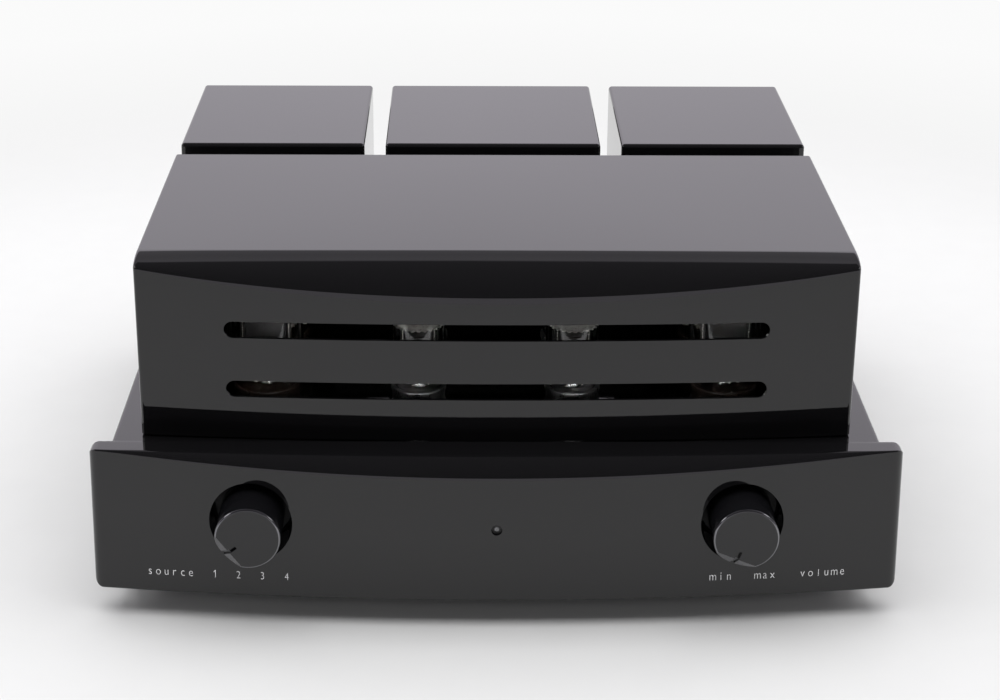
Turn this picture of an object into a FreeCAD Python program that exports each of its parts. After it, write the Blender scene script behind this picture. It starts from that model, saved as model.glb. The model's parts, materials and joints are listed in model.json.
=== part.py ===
import FreeCAD, Part
import math
import os
import re

import Sketcher

# Tube amplifier, millimetres. X to the right, Y from the front to the rear, Z up.
# The origin is on the surface that it stands on, under the middle of its footprint.

Vector = FreeCAD.Vector

DIMENSIONS = {
    # Stance
    "foot_height": 15.5, "foot_radius": 20.0, "foot_x": 165.0, "foot_front_y": -120.0,
    "foot_rear_y": 140.0, "foot_edge": 1.5, "foot_bore": 5.0, "foot_bore_depth": 9.0,
    "foot_screw_radius": 2.0, "foot_screw_head": 3.8, "foot_screw_reach": 6.0,
    # Faceplate: bowed in plan, with a rolled top edge that starts on a straight line
    "face_width": 430.0, "face_height": 79.5, "face_end_y": -175.5, "face_back_y": -164.5,
    "face_bow": 14.0, "face_roll_y": -176.6, "face_corner": 6.0, "face_lean": 5.0,
    "recess_radius": 22.0, "knob_x": 129.6, "knob_drop": 37.0, "lamp_drop": 39.0,
    # Chassis
    "chassis_half": 206.0, "chassis_step": 4.8, "chassis_rear_y": 182.5, "sheet": 2.0,
    "plate": 1.5, "chassis_edge": 2.0, "panel_gap": 0.2,
    # Knobs
    "knob_radius": 17.25, "knob_front_y": -205.0, "knob_length": 33.0, "knob_rim": 1.0,
    "knob_facet": 12.4, "knob_slot_width": 1.7, "knob_slot_inner": 10.6, "knob_slot_depth": 1.6,
    "knob_bore_depth": 14.0, "shaft_radius": 3.0, "shaft_fit": 0.05, "grub_radius": 1.5,
    "grub_length": 6.0, "grub_setback": 26.0,
    "source_turn": 53.0, "volume_turn": 22.0, "shaft_gap": 1.0,
    # Rotary controls behind the front wall
    "bushing_radius": 4.5, "bushing_length": 8.0, "switch_radius": 16.0, "switch_depth": 26.0,
    "pot_radius": 12.5, "pot_depth": 20.0, "nut_flat": 13.0, "nut_height": 2.4,
    # Lamp
    "lamp_radius": 1.5, "lamp_holder_radius": 2.9, "lamp_length": 9.0, "lamp_front_y": -190.2,
    # Tube cage
    "cage_half": 190.5, "cage_front_y": -149.5, "cage_depth": 177.5, "cage_lift": 1.2,
    "cage_height": 100.0, "cage_bow": 7.9, "cage_roll_y": -135.8, "cage_wall": 2.0,
    "cage_corner": 2.5, "cage_flatten": 0.65, "cage_rear_gap": 6.0,
    "slot_half": 143.8, "upper_slot_low": 54.1, "upper_slot_high": 63.5,
    "lower_slot_low": 20.1, "lower_slot_high": 29.6,
    "pin_x": 183.0, "pin_front_y": -126.0, "pin_rear_y": 12.0, "pin_radius": 2.5,
    "pin_block": 11.0, "pin_block_low": 5.0, "pin_reach": 10.0, "grommet_radius": 4.5,
    "grommet_flange": 6.0, "grommet_rim": 1.0, "grommet_fit": 0.08,
    # Transformer covers
    "cover_front_y": 47.2, "cover_depth": 127.6, "cover_outer_half": 190.1,
    "cover_side_width": 111.7, "cover_middle_width": 131.2, "cover_edge": 2.2,
    "cover_wall": 1.6, "mount_plate": 2.0, "mount_margin": 4.0,
    # Transformer irons
    "side_core_width": 90.0, "side_core_height": 75.0, "side_core_stack": 46.0,
    "middle_core_width": 108.0, "middle_core_height": 90.0, "middle_core_stack": 56.0,
    "winding_out": 14.0, "winding_play": 0.3,
    # Tubes
    "power_x": 126.0, "driver_x": 42.4, "front_row_y": -111.5, "rear_row_y": -40.0,
    "socket_radius": 13.8, "socket_hole": 14.0, "socket_flange": 17.0, "socket_rim": 1.6,
    "socket_depth": 8.0, "spigot_radius": 4.0, "spigot_fit": 0.3, "spigot_depth": 7.0,
    "power_base_radius": 18.4, "power_base_height": 14.8, "power_neck": 16.6,
    "power_bulb": 20.4, "power_top": 88.0, "driver_base_radius": 15.3,
    "driver_base_height": 13.0, "driver_neck": 13.2, "driver_bulb": 14.9, "driver_top": 76.0,
    "glass_wall": 0.9, "bulb_foot": 0.35, "bulb_dome": 0.55, "stem_radius": 6.0, "stem_height": 7.0,
    "power_plate_x": 24.0, "power_plate_y": 15.0, "power_plate_height": 40.0,
    "driver_plate_x": 18.0, "driver_plate_y": 9.0, "driver_plate_height": 28.0,
    "mica_thickness": 0.6, "mica_overhang": 2.0,
    # Boards and the parts on them
    "board_half_x": 110.0, "board_front_y": -80.0, "board_rear_y": 70.0, "board_height": 11.0,
    "board_thickness": 1.6, "standoff_radius": 3.0, "standoff_inset": 8.0,
    "can_radius": 15.0, "can_height": 45.0, "can_pitch": 38.0, "can_y": -18.0,
    # Rear panel fittings
    "jack_z": 70.0, "jack_pair": 19.0, "jack_pitch": 22.0, "jack_x": -118.0,
    "jack_radius": 4.2, "jack_hole": 5.4, "jack_length": 10.5, "jack_bore": 1.6,
    "jack_bore_depth": 9.0, "jack_ring_radius": 7.0, "jack_ring": 1.6, "jack_tail": 9.0,
    "post_z": 54.0, "post_pitch": 24.0, "post_x": 20.0, "post_stud": 2.5, "post_fit": 0.06,
    "post_base_radius": 8.0, "post_base_length": 6.5, "post_hole": 4.2, "post_cap_radius": 7.6,
    "post_cap_start": 8.5, "post_cap_end": 205.0, "post_cap_flutes": 12.0, "post_flute": 0.9,
    "post_flute_start": 1.5, "post_tail": 8.0,
    "inlet_x": -172.0, "inlet_z": 47.0, "inlet_width": 28.0, "inlet_height": 44.0,
    "inlet_depth": 26.0, "inlet_flange": 2.5, "inlet_flange_lip": 2.5, "inlet_play": 0.2,
    "inlet_cup_width": 24.6, "inlet_cup_height": 17.0, "inlet_cup_depth": 17.0,
    "inlet_cup_z": 8.0, "blade_width": 2.0, "blade_height": 4.0, "blade_length": 12.0,
    "blade_pitch": 7.0, "fuse_z": -12.5, "fuse_width": 22.0, "fuse_height": 9.0,
    "fuse_depth": 21.0, "fuse_play": 0.3, "fuse_front": 1.5, "fuse_radius": 2.6,
    "fuse_length": 15.0, "fuse_slot": 6.0, "fuse_floor": 1.5,
    "rocker_x": 172.0, "rocker_width": 14.0, "rocker_height": 21.0, "rocker_depth": 14.0,
    "rocker_frame": 2.0, "rocker_lip": 1.5, "rocker_play": 0.35, "rocker_end_play": 1.0,
    "rocker_tilt": 10.0, "rocker_proud": 2.2, "rocker_horn": 0.8, "rocker_pivot": 3.0,
    "rocker_back": 4.0, "rocker_taper": 0.92, "pivot_radius": 1.2, "pivot_reach": 1.2, "pivot_fit": 0.05,
    # Screws and openings in the bottom plate
    "screw_radius": 1.5, "screw_head": 2.8, "screw_head_height": 1.8, "screw_reach": 7.0,
    "screw_hole": 1.7, "bottom_screw_x": 198.0, "bottom_screw_front_y": -150.0,
    "bottom_screw_rear_y": 170.0, "corner_post": 6.0, "vent_length": 60.0, "vent_width": 5.0,
    "vent_pitch": 12.0, "vent_first_y": -60.0, "vent_x": 45.0, "vent_count": 9.0,
    "face_screw_x": 188.0, "face_screw_low": 13.0, "face_screw_high": 60.0,
    "face_screw_radius": 2.0, "face_screw_reach": 6.0, "face_screw_head": 3.6,
    "face_screw_head_height": 2.4, "face_screw_play": 0.15,
}

LEFT, RIGHT = -1, 1
POST_COUNT = 6
JACK_PAIRS = 4
ROLL_SOFTNESS = 2.0
FACE_STATIONS = (0.0, 0.18, 0.36, 0.54, 0.70, 0.84, 0.94, 1.0)
CORNER_STATIONS = (25.0, 50.0, 70.0, 90.0)
DOME_ANGLES = (30.0, 55.0, 75.0)

doc = FreeCAD.newDocument("TubeAmplifier")
exports = []


# ---------------------------------------------------------------- the sheet and its helpers

def make_sheet():
    """Put every driving dimension in the spreadsheet, under its alias."""
    sheet = doc.addObject("Spreadsheet::Sheet", "Dims")
    for row, (alias, number) in enumerate(DIMENSIONS.items(), start=1):
        sheet.set(f"A{row}", alias)
        sheet.set(f"B{row}", str(number))
        sheet.setAlias(f"B{row}", alias)
    doc.recompute()
    return sheet


SHEET = make_sheet()


def size(alias):
    """The value of one cell, for shapes that have to be computed."""
    return float(getattr(SHEET, alias))


def formula(text):
    """Turn 'face_width / 2' into 'Dims.face_width / 2'."""
    def qualify(match):
        word = match.group(0)
        return f"Dims.{word}" if word in DIMENSIONS else word
    return re.sub(r"[a-z_][a-z_0-9]*", qualify, str(text))


def bind(thing, **expressions):
    """Bind properties to formulas of the sheet's aliases."""
    for prop, text in expressions.items():
        thing.setExpression(prop, formula(text))
    return thing


def place(thing, x=0, y=0, z=0):
    """Bind a Placement's position to formulas."""
    for axis, text in zip("xyz", (x, y, z)):
        thing.setExpression(f"Placement.Base.{axis}", formula(text))
    return thing


def turn(thing, axis, degrees):
    """Bind a Placement's rotation to an axis and a formula for the angle."""
    thing.Placement = FreeCAD.Placement(Vector(), FreeCAD.Rotation(axis, 1.0))
    thing.setExpression("Placement.Rotation.Angle", formula(degrees))
    return thing


def part(thing, node):
    """Name a finished sub-part and list it for export."""
    thing.Label = node
    exports.append(thing)
    return thing


# ---------------------------------------------------------------- primitives and booleans

def box(x, y, z, length, width, height):
    """A Part box with its low corner at x, y, z."""
    thing = doc.addObject("Part::Box", "Box")
    bind(thing, Length=length, Width=width, Height=height)
    return place(thing, x, y, z)


def cylinder(x, y, z, radius, height):
    """An upright Part cylinder that stands on x, y, z."""
    thing = doc.addObject("Part::Cylinder", "Cylinder")
    bind(thing, Radius=radius, Height=height)
    return place(thing, x, y, z)


def rod(x, y, z, radius, length):
    """A Part cylinder that runs towards the rear from x, y, z."""
    thing = doc.addObject("Part::Cylinder", "Rod")
    thing.Placement = FreeCAD.Placement(Vector(), FreeCAD.Rotation(Vector(1, 0, 0), -90))
    bind(thing, Radius=radius, Height=length)
    return place(thing, x, y, z)


def cut(base, *tools):
    """The base less the tools."""
    tool = tools[0] if len(tools) == 1 else fuse(*tools)
    thing = doc.addObject("Part::Cut", "Cut")
    thing.Base = base
    thing.Tool = tool
    return thing


def fuse(*shapes):
    """One solid from shapes that meet."""
    thing = doc.addObject("Part::MultiFuse", "Fuse")
    thing.Shapes = list(shapes)
    return thing


def group(*shapes):
    """Separate solids kept together as one sub-part."""
    thing = doc.addObject("Part::Compound", "Group")
    thing.Links = list(shapes)
    return thing


def slot_cutter(low, high):
    """A long round-ended cutter, right through the cage from front to rear."""
    radius = f"({high} - {low}) / 2"
    start = "cage_front_y - 2 * cage_bow"
    depth = "cage_depth + 4 * cage_bow"
    bar = box(f"{radius} - slot_half", start, f"face_top + {low}",
              f"2 * (slot_half - {radius})", depth, f"2 * {radius}")
    ends = [rod(f"{side} * (slot_half - {radius})", start, f"face_top + {low} + {radius}",
                radius, depth) for side in (LEFT, RIGHT)]
    return fuse(bar, *ends)


# ---------------------------------------------------------------- bodies and sketches

def new_body():
    return doc.addObject("PartDesign::Body", "Body")


def sketch_on(body, role, offset=None):
    """A sketch on one of the body's own origin planes."""
    sketch = body.newObject("Sketcher::SketchObject", "Sketch")
    plane = [item for item in body.Origin.OriginFeatures if item.Role == role][0]
    sketch.AttachmentSupport = [(plane, "")]
    sketch.MapMode = "FlatFace"
    if offset is not None:
        sketch.AttachmentOffset = offset
    return sketch


def pin_point(sketch, geometry, position, x, y):
    """Hold a sketch point at formulas for its two coordinates."""
    for kind, text in (("DistanceX", x), ("DistanceY", y)):
        index = sketch.addConstraint(Sketcher.Constraint(kind, -1, 1, geometry, position, 1.0))
        sketch.setExpression(f"Constraints[{index}]", formula(text))


def add_polygon(sketch, points):
    """A closed outline of straight lines through points given as formulas."""
    first = len(sketch.Geometry)
    count = len(points)
    ring = [Vector(math.cos(2 * math.pi * i / count), math.sin(2 * math.pi * i / count), 0)
            for i in range(count)]
    for i in range(count):
        sketch.addGeometry(Part.LineSegment(ring[i], ring[(i + 1) % count]))
    for i in range(count):
        following = first + (i + 1) % count
        sketch.addConstraint(Sketcher.Constraint("Coincident", first + i, 2, following, 1))
    for i, (x, y) in enumerate(points):
        pin_point(sketch, first + i, 1, x, y)


def add_rectangle(sketch, x_low, y_low, x_high, y_high):
    corners = [(x_low, y_low), (x_high, y_low), (x_high, y_high), (x_low, y_high)]
    add_polygon(sketch, corners)


def add_circle(sketch, x, y, radius):
    """A circle whose centre and radius are formulas."""
    index = sketch.addGeometry(Part.Circle(Vector(1, 1, 0), Vector(0, 0, 1), 1))
    pin_point(sketch, index, 3, x, y)
    held = sketch.addConstraint(Sketcher.Constraint("Radius", index, 1.0))
    sketch.setExpression(f"Constraints[{held}]", formula(radius))


def pad(body, sketch, length, reversed_way=False):
    feature = body.newObject("PartDesign::Pad", "Pad")
    feature.Profile = sketch
    feature.Reversed = reversed_way
    return bind(feature, Length=length)


def pocket(body, sketch, length=None, reversed_way=False):
    """Cut the sketch into the body, right through when no length is given, and make sure it cuts."""
    doc.recompute()
    before = body.Shape.Volume
    feature = body.newObject("PartDesign::Pocket", "Pocket")
    feature.Profile = sketch
    feature.Reversed = reversed_way
    if length is None:
        feature.Type = "ThroughAll"
        feature.Midplane = True
    else:
        bind(feature, Length=length)
    doc.recompute()
    if body.Shape.Volume >= before:
        raise RuntimeError(f"{body.Name}: {feature.Name} removes nothing")
    return feature


def fillet(body, edge_names, radius):
    """Round the named edges of the body's last feature."""
    base = body.Tip
    feature = body.newObject("PartDesign::Fillet", "Fillet")
    feature.Base = (base, edge_names)
    bind(feature, Radius=radius)
    doc.recompute()


def revolve(body, points):
    """Turn an outline of radius and height about the body's upright axis."""
    sketch = sketch_on(body, "XZ_Plane")
    add_polygon(sketch, points)
    feature = body.newObject("PartDesign::Revolution", "Revolution")
    feature.Profile = sketch
    feature.ReferenceAxis = (sketch, ["V_Axis"])
    feature.Angle = 360.0
    return feature


def plate_with_holes(rectangle, thickness, circles):
    """A flat plate in the XY plane, from its low corner to its high one, with round holes."""
    body = new_body()
    outline = sketch_on(body, "XY_Plane")
    add_rectangle(outline, *rectangle)
    pad(body, outline, thickness)
    if circles:
        holes = sketch_on(body, "XY_Plane")
        for x, y, radius in circles:
            add_circle(holes, x, y, radius)
        pocket(body, holes)
    return body


# ---------------------------------------------------------------- rolled shells

def bow_front(x, end_y, bow, half):
    """The front surface's Y at x, on an arc through both ends and the bow's crown."""
    radius = (half ** 2 + bow ** 2) / (2 * bow)
    return end_y - bow + radius - math.sqrt(radius ** 2 - x ** 2)


def stations(half, corner):
    """Where the shell is sectioned, from its middle out and round its corner arc."""
    flat = half - corner
    inner = [flat * share for share in FACE_STATIONS]
    outer = [flat + corner * math.sin(math.radians(angle)) for angle in CORNER_STATIONS]
    right = inner + outer
    return [-x for x in reversed(right[1:])] + right


def section(body, x, back_y, front_y, roll, drop, lean, low_z, high_z):
    """One upright section across the shell: back, top, rolled edge, front and underside.

    The rolled edge is a quarter ellipse, roll long and drop high. Below it the front
    leans forwards to its foot.
    """
    offset = FreeCAD.Placement(Vector(0, 0, x), FreeCAD.Rotation())
    sketch = sketch_on(body, "YZ_Plane", offset)
    start = Vector(front_y + roll, high_z, 0)
    tangent = Vector(front_y, high_z - drop, 0)
    back_low = Vector(back_y, low_z, 0)
    back_high = Vector(back_y, high_z, 0)
    front_low = Vector(front_y - lean, low_z, 0)
    ellipse = Part.Ellipse(Vector(front_y + roll, high_z - drop, 0), roll, drop)
    sketch.addGeometry(Part.LineSegment(back_low, back_high))
    sketch.addGeometry(Part.LineSegment(back_high, start))
    sketch.addGeometry(Part.ArcOfEllipse(ellipse, math.pi / 2, math.pi))
    sketch.addGeometry(Part.LineSegment(tangent, front_low))
    sketch.addGeometry(Part.LineSegment(front_low, back_low))
    count = sketch.GeometryCount
    for i in range(count):
        sketch.addConstraint(Sketcher.Constraint("Coincident", i, 2, (i + 1) % count, 1))
    return sketch


def rolled_loft(body, kind, half, corner, end_y, bow, roll_y, back_y, low_z, high_z,
                flatten=0.0, lean=0.0, inset=0.0):
    """Loft a bowed shell whose top front edge rolls over from a straight line.

    The roll reaches from that line to the bowed front, so it grows towards the middle.
    flatten lowers its height further out, for each unit that the front falls back. inset
    moves every side but the underside inwards, for a cavity.
    """
    sketches = []
    for x in stations(half - inset, corner):
        flat = min(abs(x), half - inset - corner)
        front_y = bow_front(flat, end_y, bow, half)
        past_corner = abs(x) - flat
        front_y += corner - math.sqrt(max(corner ** 2 - past_corner ** 2, 0.0))
        distance = roll_y - bow_front(flat, end_y, bow, half)
        roll = (distance + math.sqrt(distance ** 2 + ROLL_SOFTNESS ** 2)) / 2 - inset
        fall_back = max(bow_front(flat, end_y, bow, half) - end_y + bow, 0.0)
        drop = roll - flatten * fall_back
        sketches.append(section(body, x, back_y - inset, front_y + inset, roll, drop, lean,
                                low_z, high_z - inset))
    doc.recompute()
    feature = body.newObject(kind, "Loft")
    feature.Profile = sketches[0]
    feature.Sections = sketches[1:]
    feature.Ruled = False
    return feature


# ---------------------------------------------------------------- stance

def feet():
    """Four turned feet, bored from below for their screws, and the screws."""
    places = [(side, row) for side in (LEFT, RIGHT) for row in ("foot_front_y", "foot_rear_y")]
    turned = []
    screws = []
    for side, row in places:
        body = new_body()
        revolve(body, [("foot_screw_radius + face_screw_play", "foot_bore_depth"),
                       ("foot_bore", "foot_bore_depth"), ("foot_bore", "0"),
                       ("foot_radius - foot_edge", "0"), ("foot_radius", "foot_edge"),
                       ("foot_radius", "foot_height"),
                       ("foot_screw_radius + face_screw_play", "foot_height")])
        turned.append(place(body, f"{side} * foot_x", row, 0))
        shank = cylinder(f"{side} * foot_x", row, "foot_bore_depth", "foot_screw_radius",
                         "foot_height - foot_bore_depth + foot_screw_reach")
        head = cylinder(f"{side} * foot_x", row, "foot_bore_depth - face_screw_head_height",
                        "foot_screw_head", "face_screw_head_height")
        screws.append(fuse(head, shank))
    part(group(*turned), "feet")
    part(group(*screws), "foot_screws")


# ---------------------------------------------------------------- chassis and its panels

def tube_places():
    """Signed column alias and row alias of each tube, power tubes first."""
    for column in ("power_x", "driver_x"):
        for side in (LEFT, RIGHT):
            for row in ("front_row_y", "rear_row_y"):
                yield column, f"{side} * {column}", row


def pin_places():
    for side in (LEFT, RIGHT):
        for row in ("pin_front_y", "pin_rear_y"):
            yield side, f"{side} * pin_x", row


def chassis():
    """A folded tray, open below and behind, with holes in its top and its front wall."""
    body = new_body()
    outline = sketch_on(body, "XY_Plane")
    add_rectangle(outline, "-chassis_half", "face_back_y", "chassis_half", "chassis_rear_y")
    pad(body, outline, "chassis_top - foot_height - plate")
    doc.recompute()
    height = size("chassis_top") - size("foot_height") - size("plate")
    long_edges = [f"Edge{i}" for i, item in enumerate(body.Shape.Edges, start=1)
                  if item.BoundBox.ZMin > height - 1 and item.BoundBox.XLength < 1]
    fillet(body, long_edges, "chassis_edge")
    inside = sketch_on(body, "XY_Plane")
    add_rectangle(inside, "sheet - chassis_half", "face_back_y + sheet",
                  "chassis_half - sheet", "chassis_rear_y + sheet")
    pocket(body, inside, "chassis_top - foot_height - plate - sheet", reversed_way=True)
    top_holes = sketch_on(body, "XY_Plane")
    for _, x, y in tube_places():
        add_circle(top_holes, x, y, "socket_hole")
    for _, x, y in pin_places():
        add_circle(top_holes, x, y, "grommet_radius")
    for side in (LEFT, 0, RIGHT):
        add_circle(top_holes, f"{side} * (cover_outer_half - cover_side_width / 2)",
                   "cover_front_y + cover_depth / 2", "lead_hole")
    pocket(body, top_holes)
    front_holes = sketch_on(body, "XZ_Plane")
    for side in (LEFT, RIGHT):
        add_circle(front_holes, f"{side} * knob_x", "knob_z - foot_height - plate",
                   "bushing_radius")
        for level in ("face_screw_low", "face_screw_high"):
            add_circle(front_holes, f"{side} * face_screw_x", f"{level} - plate",
                       "face_screw_radius + face_screw_play")
    add_circle(front_holes, "0", "lamp_z - foot_height - plate", "lamp_holder_radius")
    pocket(body, front_holes)
    place(body, 0, 0, "foot_height + plate")
    part(body, "chassis")


def vent_slots():
    """Rows of slots through the bottom plate, as one set of boxes."""
    slots = []
    for side in (LEFT, RIGHT):
        for i in range(int(size("vent_count"))):
            slots.append(box(f"{side} * vent_x - vent_length / 2",
                             f"vent_first_y + {i} * vent_pitch", "foot_height - plate",
                             "vent_length", "vent_width", "3 * plate"))
    return slots


def bottom_screw_places():
    for side in (LEFT, RIGHT):
        for row in ("bottom_screw_front_y", "bottom_screw_rear_y"):
            yield f"{side} * bottom_screw_x", row


def bottom_plate():
    """The bottom plate, its corner posts and the screws that hold it to them."""
    circles = [(x, y, "screw_hole") for x, y in bottom_screw_places()]
    for side in (LEFT, RIGHT):
        for row in ("foot_front_y", "foot_rear_y"):
            circles.append((f"{side} * foot_x", row, "foot_screw_radius + face_screw_play"))
    corners = ("-chassis_half", "face_back_y", "chassis_half", "chassis_rear_y")
    sheet = plate_with_holes(corners, "plate", circles)
    place(sheet, 0, 0, "foot_height")
    part(cut(sheet, *vent_slots()), "bottom_plate")
    posts = []
    screws = []
    for x, y in bottom_screw_places():
        block = box(f"{x} - corner_post", f"{y} - corner_post", "foot_height + plate",
                    "2 * corner_post", "2 * corner_post", "2 * corner_post")
        hole = cylinder(x, y, "foot_height", "screw_radius + face_screw_play", "screw_reach + 3")
        posts.append(cut(block, hole))
        head = cylinder(x, y, "foot_height - screw_head_height", "screw_head",
                        "screw_head_height")
        shank = cylinder(x, y, "foot_height", "screw_radius", "screw_reach")
        screws.append(fuse(head, shank))
    part(group(*posts), "corner_posts")
    part(group(*screws), "bottom_screws")


def jack_places():
    for column in range(JACK_PAIRS):
        for level in (0, 1):
            yield (level, f"jack_x + {column} * jack_pitch", f"jack_z - {level} * jack_pair")


def post_places():
    for index in range(POST_COUNT):
        yield index, f"post_x + {index} * post_pitch", "post_z"


def rear_panel():
    """The rear panel, pierced for the jacks, the posts, the inlet and the switch."""
    sheet = box("panel_gap + sheet - chassis_half", "chassis_rear_y - sheet",
                "foot_height + plate + panel_gap", "2 * (chassis_half - sheet - panel_gap)",
                "sheet", "chassis_top - sheet - foot_height - plate - 2 * panel_gap")
    tools = []
    for _, x, z in jack_places():
        tools.append(rod(x, "chassis_rear_y - 2 * sheet", z, "jack_hole", "3 * sheet"))
    for _, x, z in post_places():
        tools.append(rod(x, "chassis_rear_y - 2 * sheet", z, "post_hole", "3 * sheet"))
    tools.append(box("inlet_x - inlet_width / 2 - inlet_play", "chassis_rear_y - 2 * sheet",
                     "inlet_z - inlet_height / 2 - inlet_play",
                     "inlet_width + 2 * inlet_play", "3 * sheet",
                     "inlet_height + 2 * inlet_play"))
    tools.append(box("rocker_x - rocker_width / 2 - rocker_frame - inlet_play",
                     "chassis_rear_y - 2 * sheet",
                     "inlet_z - rocker_height / 2 - rocker_frame - inlet_play",
                     "rocker_width + 2 * rocker_frame + 2 * inlet_play", "3 * sheet",
                     "rocker_height + 2 * rocker_frame + 2 * inlet_play"))
    part(cut(sheet, *tools), "rear_panel")


# ---------------------------------------------------------------- faceplate

def faceplate():
    """The bowed front, with a recess for each knob and a hole for the lamp."""
    body = new_body()
    rolled_loft(body, "PartDesign::AdditiveLoft", size("face_width") / 2, size("face_corner"),
                size("face_end_y"), size("face_bow"), size("face_roll_y"), size("face_back_y"),
                size("foot_height"), size("face_top"), lean=size("face_lean"))
    doc.recompute()
    tools = []
    depth = "face_back_y - face_end_y + 3 * face_bow"
    start = "face_end_y - 2 * face_bow"
    for side in (LEFT, RIGHT):
        tools.append(rod(f"{side} * knob_x", start, "knob_z", "recess_radius", depth))
        for level in ("face_screw_low", "face_screw_high"):
            tools.append(rod(f"{side} * face_screw_x", "face_back_y - face_screw_reach - 1",
                             f"foot_height + {level}", "face_screw_radius + face_screw_play",
                             "face_screw_reach + 2"))
    tools.append(rod("0", start, "lamp_z", "lamp_holder_radius", depth))
    part(cut(body, *tools), "faceplate")


def faceplate_screws():
    """Screws through the chassis's front wall into the back of the faceplate."""
    screws = []
    for side in (LEFT, RIGHT):
        for level in ("face_screw_low", "face_screw_high"):
            x = f"{side} * face_screw_x"
            z = f"foot_height + {level}"
            shank = rod(x, "face_back_y - face_screw_reach", z, "face_screw_radius",
                        "face_screw_reach + sheet")
            head = rod(x, "face_back_y + sheet", z, "face_screw_head",
                       "face_screw_head_height")
            screws.append(fuse(shank, head))
    part(group(*screws), "faceplate_screws")


# ---------------------------------------------------------------- knobs and their controls

def knob(side, turned, node):
    """A turned knob with a slanted facet and a pointer slot at its lower rim.

    It is modelled upright, its face on top and its pointer towards +Y, and then laid
    down: the face points to the front and the pointer downwards, turned by its angle.
    """
    body = new_body()
    revolve(body, [("0", "0"), ("knob_radius", "0"), ("knob_radius", "knob_length - knob_rim"),
                   ("knob_radius - knob_rim", "knob_length"), ("0", "knob_length")])
    doc.recompute()
    facet = sketch_on(body, "YZ_Plane")
    add_polygon(facet, [("knob_facet", "knob_length + 1"),
                        ("knob_radius + 1", "knob_length + 1"),
                        ("knob_radius + 1", "knob_length + knob_facet - knob_radius - 1"),
                        ("knob_facet", "knob_length")])
    pocket(body, facet)
    slot = sketch_on(body, "YZ_Plane")
    add_polygon(slot, [("knob_slot_inner", "knob_length + 1"),
                       ("knob_radius + 1", "knob_length + 1"),
                       ("knob_radius + 1", "knob_length - knob_slot_depth + knob_facet - knob_radius - 1"),
                       ("knob_facet", "knob_length - knob_slot_depth"),
                       ("knob_slot_inner", "knob_length - knob_slot_depth")])
    cutter = body.newObject("PartDesign::Pocket", "PointerSlot")
    cutter.Profile = slot
    cutter.Midplane = True
    bind(cutter, Length="knob_slot_width")
    bore = sketch_on(body, "XY_Plane")
    add_circle(bore, "0", "0", "shaft_radius + shaft_fit")
    pocket(body, bore, "knob_bore_depth", reversed_way=True)
    grub = sketch_on(body, "YZ_Plane")
    add_circle(grub, "0", "knob_length - grub_setback", "grub_radius + shaft_fit")
    sideways = body.newObject("PartDesign::Pocket", "GrubHole")
    sideways.Profile = grub
    sideways.Reversed = False
    bind(sideways, Length="knob_radius + 1")
    lay_down(body, side, turned)
    part(body, node)


def lay_down(thing, side, turned):
    """Lay a control's piece down on its axis, with its pointer turned from straight down."""
    tip_over = FreeCAD.Rotation(Vector(1, 0, 0), 90)
    spin = FreeCAD.Rotation(Vector(0, 1, 0), size(turned))
    flip = FreeCAD.Rotation(Vector(0, 0, 1), 180)
    rotation = spin.multiply(tip_over).multiply(flip)
    thing.Placement = FreeCAD.Placement(Vector(), rotation)
    place(thing, f"{side} * knob_x", "knob_front_y + knob_length", "knob_z")


def control(side, turned, radius, depth, body_node, shaft_node, knob_node, screw_node):
    """One rotary control: its body and bushing, its shaft, its knob and its grub screw."""
    x = f"{side} * knob_x"
    wall = "face_back_y + sheet"
    case = rod(x, wall, "knob_z", radius, depth)
    bushing = rod(x, f"{wall} - bushing_length", "knob_z", "bushing_radius - shaft_fit",
                  "bushing_length")
    bore = rod(x, f"{wall} - bushing_length - 1", "knob_z", "shaft_radius + shaft_fit",
               f"bushing_length + {depth} / 2 + 1")
    part(cut(fuse(case, bushing), bore), body_node)
    shaft_end = "knob_front_y + knob_length - knob_bore_depth + shaft_gap"
    part(rod(x, shaft_end, "knob_z", "shaft_radius",
             f"{wall} + {depth} / 2 - shaft_gap - ({shaft_end})"), shaft_node)
    knob(side, turned, knob_node)
    screw = doc.addObject("Part::Cylinder", "Grub")
    bind(screw, Radius="grub_radius", Height="grub_length")
    screw.Placement = FreeCAD.Placement(Vector(), FreeCAD.Rotation(Vector(0, 1, 0), 90))
    place(screw, "-shaft_radius - shaft_fit - grub_length", 0, "knob_length - grub_setback")
    holder = doc.addObject("Part::Compound", "Turned")
    holder.Links = [screw]
    lay_down(holder, side, turned)
    part(holder, screw_node)


def shaft_nuts():
    """The hexagon nuts that clamp both bushings to the front wall."""
    nuts = []
    for side in (LEFT, RIGHT):
        prism = doc.addObject("Part::Prism", "Nut")
        prism.Polygon = 6
        bind(prism, Circumradius="nut_flat / 2 / cos(30)", Height="nut_height")
        prism.Placement = FreeCAD.Placement(Vector(), FreeCAD.Rotation(Vector(1, 0, 0), -90))
        place(prism, f"{side} * knob_x", "face_back_y - nut_height", "knob_z")
        bore = rod(f"{side} * knob_x", "face_back_y - 2 * nut_height", "knob_z",
                   "bushing_radius", "3 * nut_height")
        nuts.append(cut(prism, bore))
    part(group(*nuts), "shaft_nuts")


def lamp():
    """The power lamp, set back in a dark holder through the faceplate."""
    sleeve = rod("0", "lamp_front_y", "lamp_z", "lamp_holder_radius - shaft_fit",
                 "face_back_y + 2 * sheet - lamp_front_y")
    bore = rod("0", "lamp_front_y - 1", "lamp_z", "lamp_radius + shaft_fit", "lamp_length + 1")
    part(cut(sleeve, bore), "lamp_holder")
    barrel = rod("0", "lamp_front_y", "lamp_z", "lamp_radius", "lamp_length")
    part(barrel, "power_lamp")


# ---------------------------------------------------------------- tube cage

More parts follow.
